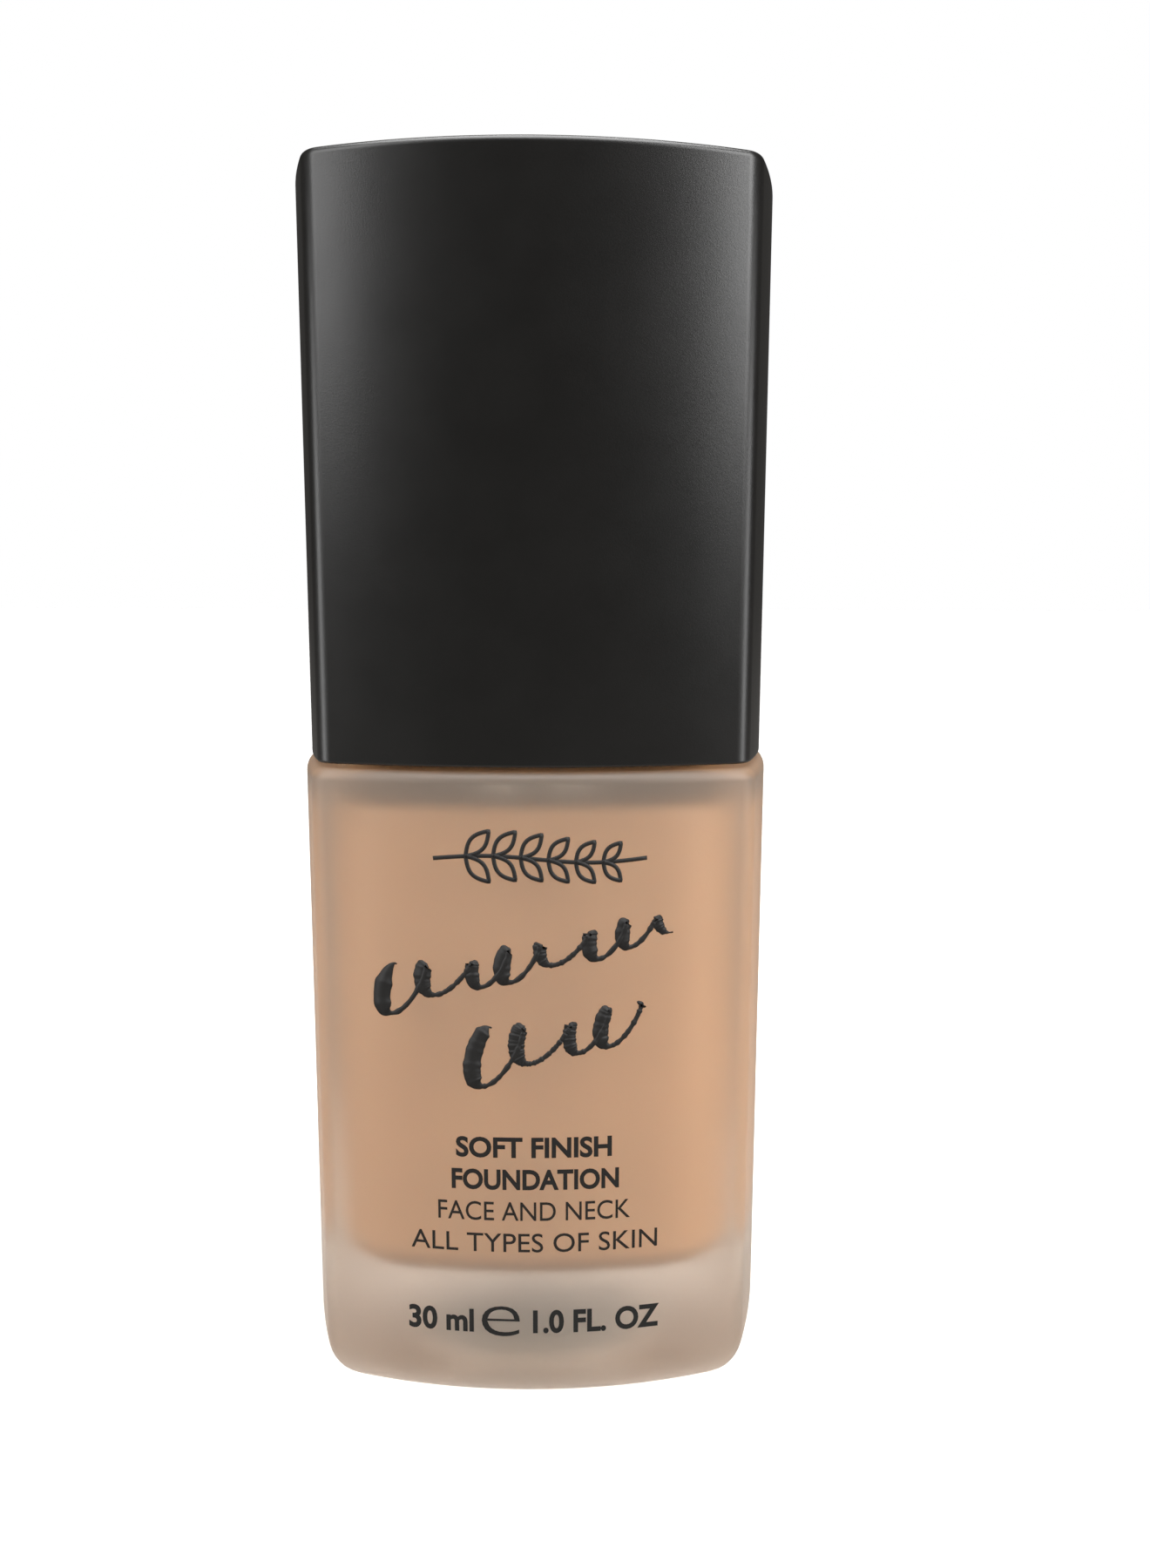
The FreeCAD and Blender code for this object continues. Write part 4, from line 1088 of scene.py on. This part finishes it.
@dataclass
class TurnedPieces:
    """Closure, pump and button, turned about the axis. Lengths are in millimetres."""

    shop: Workshop
    collar: float = 11.0
    collar_groove: float = 10.88
    collar_mouth: float = 8.1
    collar_skirt: float = 8.7
    closure: float = 10.4
    closure_bore: float = 9.05
    closure_hole: float = 5.45
    closure_roof: float = 1.2
    thread_top: float = 1.6
    button: float = 7.8
    button_bore: float = 6.7
    button_roof: float = 2.3
    dish: float = 6.0
    dish_depth: float = 0.8
    stem: float = 2.1
    stem_bore: float = 1.5
    channel: float = 0.8
    socket: float = 3.4
    spout: float = 2.2
    tip: float = 1.4
    tip_length: float = 3.0
    orifice: float = 0.55
    barrel: float = 4.5
    barrel_bore: float = 3.7
    barrel_foot: float = 8.62
    flange: float = 7.6
    flange_thickness: float = 1.2
    hose: float = 1.6
    hose_bore: float = 1.1
    hose_socket: float = 2.4
    neck_of_piston: float = 3.06
    piston_lip: float = 3.66
    stem_clearance: float = 2.15
    wire: float = 0.3
    coils: float = 6.5

    def turn(self, name: str, node: str, finish: Finish, corners: list[tuple],
             around: int = 96) -> bpy.types.Object:
        """Turns one profile, given in millimetres above the node's lowest point.

        A profile that starts and ends on the axis is closed by poles. Any other
        closes on itself and has a bore.

        Args:
            name: the piece's name.
            node: the CAD node that it stands for.
            finish: its finish.
            corners: (radius, height) or (radius, height, rounding) in millimetres.
            around: points in each ring.

        Returns:
            The placed piece.
        """
        solid = corners[0][0] == 0 and corners[-1][0] == 0
        ends = corners if solid else [*corners, corners[0]]
        profile = rounded(ends, 5) * MM
        if solid:
            profile[0, 0] = profile[-1, 0] = 0.02 * MM
        else:
            profile = profile[:-1]
        profile[:, 1] += Extent(node).bottom
        piece = surface(name, turned(profile, around), loop_rows=not solid,
                        pole_start=solid, pole_end=solid)
        return self.shop.place(piece, node, finish)

    def height(self, node: str) -> float:
        """A node's height in millimetres."""
        extent = Extent(node)
        return (extent.top - extent.bottom) / MM

    def cover(self) -> None:
        """The gloss cover, with a fine groove above its foot and an inner skirt."""
        tall = self.height("collar_shell")
        out, groove, skirt = self.collar, self.collar_groove, self.collar_skirt
        self.turn("gloss_collar", "collar_shell", GLOSS_ABS,
                  [(self.closure, 3.0), (self.closure, 0.0, 0.1), (out, 0.0, 0.25),
                   (out, 1.2, 0.1), (groove, 1.35, 0.05), (groove, 1.6, 0.05),
                   (out, 1.75, 0.1), (out, tall, 0.55), (self.collar_mouth, tall, 0.25),
                   (self.collar_mouth, tall - 6.55, 0.1), (skirt, tall - 6.55, 0.1),
                   (skirt, tall - 0.6, 0.1), (self.closure, tall - 0.6, 0.1)], 144)

    def closure_ring(self) -> None:
        """The threaded closure. Its thread stands inwards from the bore."""
        high = self.height("screw_collar")
        bore, under = self.closure_bore, high - self.closure_roof
        profile = rounded([(bore, 8.0), (bore, 0.0, 0.3), (self.closure, 0.0, 0.2),
                           (self.closure, high, 0.2), (self.closure_hole, high, 0.1),
                           (self.closure_hole, under, 0.1), (bore, under, 0.3)], 5)
        column = np.stack([np.full(90, bore), np.linspace(high - 1.6, 0.5, 90)], -1)
        profile = np.vstack([profile[1:], column]) * MM
        profile[:, 1] += Extent("screw_collar").bottom
        grid = turned(profile, 144)
        angle = np.linspace(0, 2 * math.pi, 144, endpoint=False)[None]
        # Half a pitch below the neck's thread, so that the two ridges mesh.
        start = (Extent("glass_bottle").top - self.thread_top * MM
                 - Thread.pitch * (Thread.turns + 0.5) - Thread.root / 2)
        rise = Thread(start).rise(angle, profile[:, 1:])
        rise *= np.abs(profile[:, :1] - bore * MM) < 1e-6
        grid[:, :, :2] *= (1 - rise / profile[:, :1])[:, :, None]
        piece = surface("threaded_closure", grid, loop_rows=True)
        self.shop.place(piece, "screw_collar", BLACK_POLYPROPYLENE)

    def finger_button(self) -> None:
        """The finger button: a cup whose top is dished like part of a large ball.

        The ball's radius is (dish squared + depth squared) / (2 depth).
        """
        tall = self.height("actuator_shell")
        roof = tall - self.button_roof
        ball = (self.dish**2 + self.dish_depth**2) / (2 * self.dish_depth)
        across = np.linspace(self.dish * 0.98, 0.0, 14)
        sunk = np.sqrt(ball**2 - across**2) - ball + self.dish_depth
        self.turn("finger_button", "actuator_shell", SATIN_ABS,
                  [(0, roof), (self.button_bore, roof, 0.4), (self.button_bore, 0.0, 0.2),
                   (self.button, 0.0, 0.25), (self.button, tall, 1.2),
                   (self.dish + 0.25, tall, 0.2), *zip(across, tall - sunk)], 128)

    def outlet(self) -> None:
        """The button's inside: socket on the stem, channel, spout and its tip."""
        low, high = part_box("nozzle_insert")
        axis = (low.z + high.z) / 2
        core = Extent("actuator_core")
        reach = core.front / MM
        rise = (axis - core.bottom) / MM
        tall = self.height("actuator_core")
        hole = 1.3
        self.turn("stem_socket", "actuator_core", BLACK_POLYPROPYLENE,
                  [(self.stem, 0.3), (self.stem, 0.0, 0.1), (self.socket, 0.0, 0.3),
                   (self.socket, tall, 0.2), (self.channel, tall, 0.1),
                   (self.channel, rise + hole), (self.stem_bore, rise + hole),
                   (self.stem_bore, rise - hole), (self.stem, rise - hole)])
        back = reach - self.tip_length
        self.point_forward("spout", "actuator_core", axis,
                           [(self.tip, back), (self.channel, back), (self.channel, 2.6),
                            (self.spout, 2.6), (self.spout, reach, 0.45),
                            (self.tip, reach, 0.12)])
        self.point_forward("spout_tip", "nozzle_insert", axis,
                           [(self.orifice, back), (self.tip, back, 0.05),
                            (self.tip, reach, 0.1), (0.95, reach, 0.1),
                            (self.orifice, reach - 0.5, 0.1)])

    def point_forward(self, name: str, node: str, axis: float, corners: list[tuple]) -> None:
        """A black tube that points forward: a turned profile laid over about its axis.

        Args:
            name: the piece's name.
            node: the CAD node that it stands for.
            axis: the height of the tube's axis, in metres.
            corners: (radius, reach) or (radius, reach, rounding) in millimetres.
        """
        grid = turned(rounded([*corners, corners[0]], 5)[:-1] * MM, 64)
        laid = np.stack([grid[..., 0], -grid[..., 2], grid[..., 1] + axis], -1)
        piece = surface(name, laid, loop_rows=True)
        self.shop.place(piece, node, BLACK_POLYPROPYLENE)

    def housing(self) -> None:
        """The barrel in the neck with its bush, gasket and dip tube.

        The barrel narrows in a cone to the dip tube's socket, with the ball's seat
        in between.
        """
        top, foot, bore = self.height("pump_housing"), self.barrel_foot, self.barrel_bore
        under = top - self.flange_thickness
        self.turn("pump_barrel", "pump_housing", NATURAL_POLYPROPYLENE,
                  [(self.hose, 0.0, 0.1), (self.hose_socket, 0.0, 0.3),
                   (self.hose_socket, 6.52, 0.6), (self.barrel, foot, 0.8),
                   (self.barrel, under, 0.2), (self.flange, under, 0.15),
                   (self.flange, top, 0.15), (bore, top, 0.2), (bore, foot, 0.1),
                   (2.0, foot, 0.1), (2.0, 5.9), (self.hose_bore, 5.0),
                   (self.hose_bore, 4.0), (self.hose, 4.0)])
        rod = self.stem_clearance
        self.turn("lock_bush", "lock_ring", NATURAL_POLYPROPYLENE,
                  [(rod, 0.0, 0.15), (bore, 0.0, 0.3), (bore, 4.5), (5.4, 4.5), (5.4, 5.8),
                   (6.9, 5.8, 0.15), (6.9, 6.5, 0.2), (rod, 6.5, 0.25)])
        foam = self.height("neck_gasket")
        self.turn("foam_gasket", "neck_gasket", CELL_FOAM,
                  [(4.55, 0.0, 0.15), (self.flange, 0.0, 0.3), (self.flange, foam, 0.3),
                   (4.55, foam, 0.15)])
        tube = self.height("dip_tube")
        self.turn("dip_hose", "dip_tube", WAXY_POLYETHYLENE,
                  [(self.hose_bore, 0.0, 0.05), (self.hose, 0.0, 0.1), (self.hose, tube, 0.1),
                   (self.hose_bore, tube, 0.05)], 48)

    def valves(self) -> None:
        """What moves in the barrel: stem, plug, piston, ball and the disc over it."""
        disc = self.height("ball_retainer")
        self.turn("valve_disc", "ball_retainer", NATURAL_POLYPROPYLENE,
                  [(self.hose_bore, 0.0, 0.1), (self.barrel_bore, 0.0, 0.1),
                   (self.barrel_bore, disc, 0.1), (self.hose_bore, disc, 0.2)])
        stem = self.height("stem")
        self.turn("hollow_stem", "stem", NATURAL_POLYPROPYLENE,
                  [(self.stem_bore, 0.0, 0.05), (self.stem, 0.0, 0.1),
                   (self.stem, stem, 0.15), (self.stem_bore, stem, 0.1)], 64)
        # From below: the spring's pilot, the plug's rim, the spigot and its point.
        self.turn("port_plug", "piston_rod", NATURAL_POLYPROPYLENE,
                  [(0, 0), (self.stem, 0.0, 0.3), (self.stem, 2.5, 0.1), (3.36, 2.5, 0.2),
                   (3.36, 3.6, 0.15), (self.stem_bore, 3.6, 0.1), (self.stem_bore, 4.0, 0.1),
                   (0.75, 4.0, 0.1), (0.5, 6.1, 0.2), (0, 6.1)])
        neck, lip, rod = self.neck_of_piston, self.piston_lip, self.stem_clearance
        self.turn("piston_cup", "piston_seal", WAXY_POLYETHYLENE,
                  [(rod, 0.0, 0.1), (neck, 0.0, 0.1), (lip, 0.2, 0.05), (lip, 1.12, 0.1),
                   (neck, 1.42, 0.3), (neck, 3.08, 0.3), (lip, 3.38, 0.1), (lip, 4.3, 0.05),
                   (neck, 4.5, 0.1), (rod, 4.5, 0.1)])
        radius = Extent("inlet_ball").half / MM
        turn = np.linspace(-math.pi / 2, math.pi / 2, 33)[1:-1]
        half = [(radius * math.cos(a), radius * (1 + math.sin(a))) for a in turn]
        self.turn("steel_ball", "inlet_ball", DRAWN_STAINLESS,
                  [(0, 0), *half, (0, 2 * radius)], 64)

    def spring(self) -> None:
        """The return spring: a circle carried along a helix whose end coils close up.

        The helix's height follows its turns, more slowly at both ends, and the wire's
        circle stands across it.
        """
        extent = Extent("return_spring")
        wire, turns, steps = self.wire * MM, self.coils, 520
        radius = extent.half - wire
        s = np.linspace(0, 1, steps)
        angle = 2 * math.pi * turns * s
        # Each dead coil takes the first and last seventh of the wire.
        dead = 1 / 7
        live = np.clip((s - dead) / (1 - 2 * dead), 0, 1)
        live = live - 0.03 * np.sin(2 * math.pi * live)
        coil = 2 * wire * turns * (np.minimum(s, dead) + np.clip(s - 1 + dead, 0, 1))
        span = extent.top - extent.bottom - 2 * wire - coil[-1]
        height = extent.bottom + wire + coil + span * live
        path = np.stack([radius * np.cos(angle), radius * np.sin(angle), height], -1)
        ahead = np.gradient(path, axis=0)
        ahead /= np.linalg.norm(ahead, axis=1)[:, None]
        out = np.stack([np.cos(angle), np.sin(angle), np.zeros(steps)], -1)
        side = np.cross(ahead, out)
        turn = np.linspace(0, 2 * math.pi, 12, endpoint=False)[None, :, None]
        grid = path[:, None] + wire * (np.cos(turn) * out[:, None] + np.sin(turn) * side[:, None])
        piece = surface("return_coil", grid, pole_start=True, pole_end=True)
        self.shop.place(piece, "return_spring", DRAWN_STAINLESS)
        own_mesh(piece)

    def build(self) -> None:
        """Builds closure, button and pump."""
        self.cover()
        self.closure_ring()
        self.finger_button()
        self.outlet()
        self.housing()
        self.valves()
        self.spring()


# ---------------------------------------------------------------- studio


@dataclass(frozen=True)
class Softbox:
    """A rectangular lamp with where it stands and faces, its size and its power."""

    name: str
    place: tuple[float, float, float]
    aim: tuple[float, float, float]
    size: tuple[float, float]
    watts: float


# Two tall boxes draw the soft bands on the cap. Two low strips light the glass edges.
CAP_AIM, GLASS_AIM = (0.0, 0.0, 0.05), (0.0, 0.0, 0.03)
SOFTBOXES = (Softbox("left_softbox", (-0.395, -0.305, 0.38), CAP_AIM, (0.2, 0.5), 2.0),
             Softbox("right_softbox", (0.395, -0.305, 0.38), CAP_AIM, (0.2, 0.5), 3.2),
             Softbox("left_strip", (-0.35, -0.08, 0.03), GLASS_AIM, (0.1, 0.25), 0.42),
             Softbox("right_strip", (0.35, -0.08, 0.03), GLASS_AIM, (0.1, 0.25), 0.42))


@dataclass
class Studio:
    """Floor, lamps, surroundings and camera. Lengths are in metres."""

    shop: Workshop
    camera_place: tuple[float, float, float] = (2.08 * MM, -102.35 * MM, 61.47 * MM)
    camera_tip: float = 8.45
    camera_turn: float = -0.62
    camera_roll: float = 0.14
    lens: float = 27.38
    floor_reach: float = 30.0
    sky_strength: float = 3.9
    sky_angle: float = 50.0
    room_glow: float = 0.085
    table_glow: float = 0.65

    def floor(self) -> None:
        """A wide pale floor under the bottle."""
        mesh = bpy.data.meshes.new("studio_floor")
        reach = self.floor_reach
        mesh.from_pydata([(-reach, -reach, 0), (reach, -reach, 0), (reach, reach, 0),
                          (-reach, reach, 0)], [], [(0, 1, 2, 3)])
        floor = bpy.data.objects.new("studio_floor", mesh)
        bpy.context.scene.collection.objects.link(floor)
        mesh.materials.append(self.shop.material(STUDIO_PAINT))
        # Flags keep the white floor out of the gloss, as a black card in front would.
        floor.visible_glossy = False
        floor.visible_transmission = False

    def lamp(self, softbox: Softbox) -> None:
        """Sets up one softbox."""
        light = bpy.data.lights.new(softbox.name, "AREA")
        light.shape = "RECTANGLE"
        light.size, light.size_y = softbox.size
        light.energy = softbox.watts
        box = bpy.data.objects.new(softbox.name, light)
        box.location = softbox.place
        toward = Vector(softbox.aim) - Vector(softbox.place)
        box.rotation_euler = toward.to_track_quat("-Z", "Y").to_euler()
        bpy.context.scene.collection.objects.link(box)

    def skylight(self) -> None:
        """Soft light from straight above, which whitens the floor evenly."""
        light = bpy.data.lights.new("skylight", "SUN")
        light.energy = self.sky_strength
        light.angle = math.radians(self.sky_angle)
        sky = bpy.data.objects.new("skylight", light)
        sky.location = (0, 0, 1)
        bpy.context.scene.collection.objects.link(sky)

    def world(self) -> None:
        """White surroundings for the eye, dimmer ones for what they light."""
        world = bpy.data.worlds.new("studio_air")
        bpy.context.scene.world = world
        world.use_nodes = True
        tree = world.node_tree
        tree.nodes.clear()
        seen = add_node(tree, "LightPath").outputs["Is Camera Ray"]
        white = add_node(tree, "Background", {"Color": (1, 1, 1, 1), "Strength": 1.0})
        way = add_node(tree, "TexCoord").outputs["Generated"]
        rise = add_node(tree, "SeparateXYZ", None, {"Vector": way}).outputs["Z"]
        # The room is dim, and a pale table brightens what comes from below.
        glow = add_node(tree, "MapRange", {"From Min": -0.6, "From Max": 0.0,
                                           "To Min": self.table_glow,
                                           "To Max": self.room_glow}, {"Value": rise})
        dim = add_node(tree, "Background", {"Color": linear("FFFAF4")},
                       {"Strength": glow.outputs["Result"]})
        mix = add_node(tree, "MixShader", None, {0: seen, 1: dim.outputs[0], 2: white.outputs[0]})
        add_node(tree, "OutputWorld", None, {"Surface": mix.outputs[0]})

    def camera(self) -> None:
        """A close camera a little above the bottle's middle, tipped slightly down."""
        lens = bpy.data.cameras.new("studio_camera")
        lens.lens = self.lens
        lens.clip_start = 0.005
        camera = bpy.data.objects.new("studio_camera", lens)
        camera.location = self.camera_place
        turn = (Matrix.Rotation(math.radians(self.camera_turn), 3, "Z")
                @ Matrix.Rotation(math.radians(90 - self.camera_tip), 3, "X")
                @ Matrix.Rotation(math.radians(self.camera_roll), 3, "Z"))
        camera.rotation_euler = turn.to_euler()
        bpy.context.scene.collection.objects.link(camera)
        bpy.context.scene.camera = camera

    def build(self) -> None:
        """Sets up the whole studio."""
        self.camera()
        self.floor()
        self.world()
        for softbox in SOFTBOXES:
            self.lamp(softbox)
        self.skylight()
        bpy.context.scene.view_settings.view_transform = "Standard"


def main() -> None:
    """Builds the studio and the bottle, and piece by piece."""
    logging.basicConfig(level=logging.INFO, format="%(name)s: %(message)s")
    shop = Workshop()
    Studio(shop).build()
    bottle = Bottle(shop)
    bottle.build()
    FrontPrint(shop, bottle).build()
    TurnedPieces(shop).build()
    Overcap(shop).build()


if __name__ == "__main__":
    main()
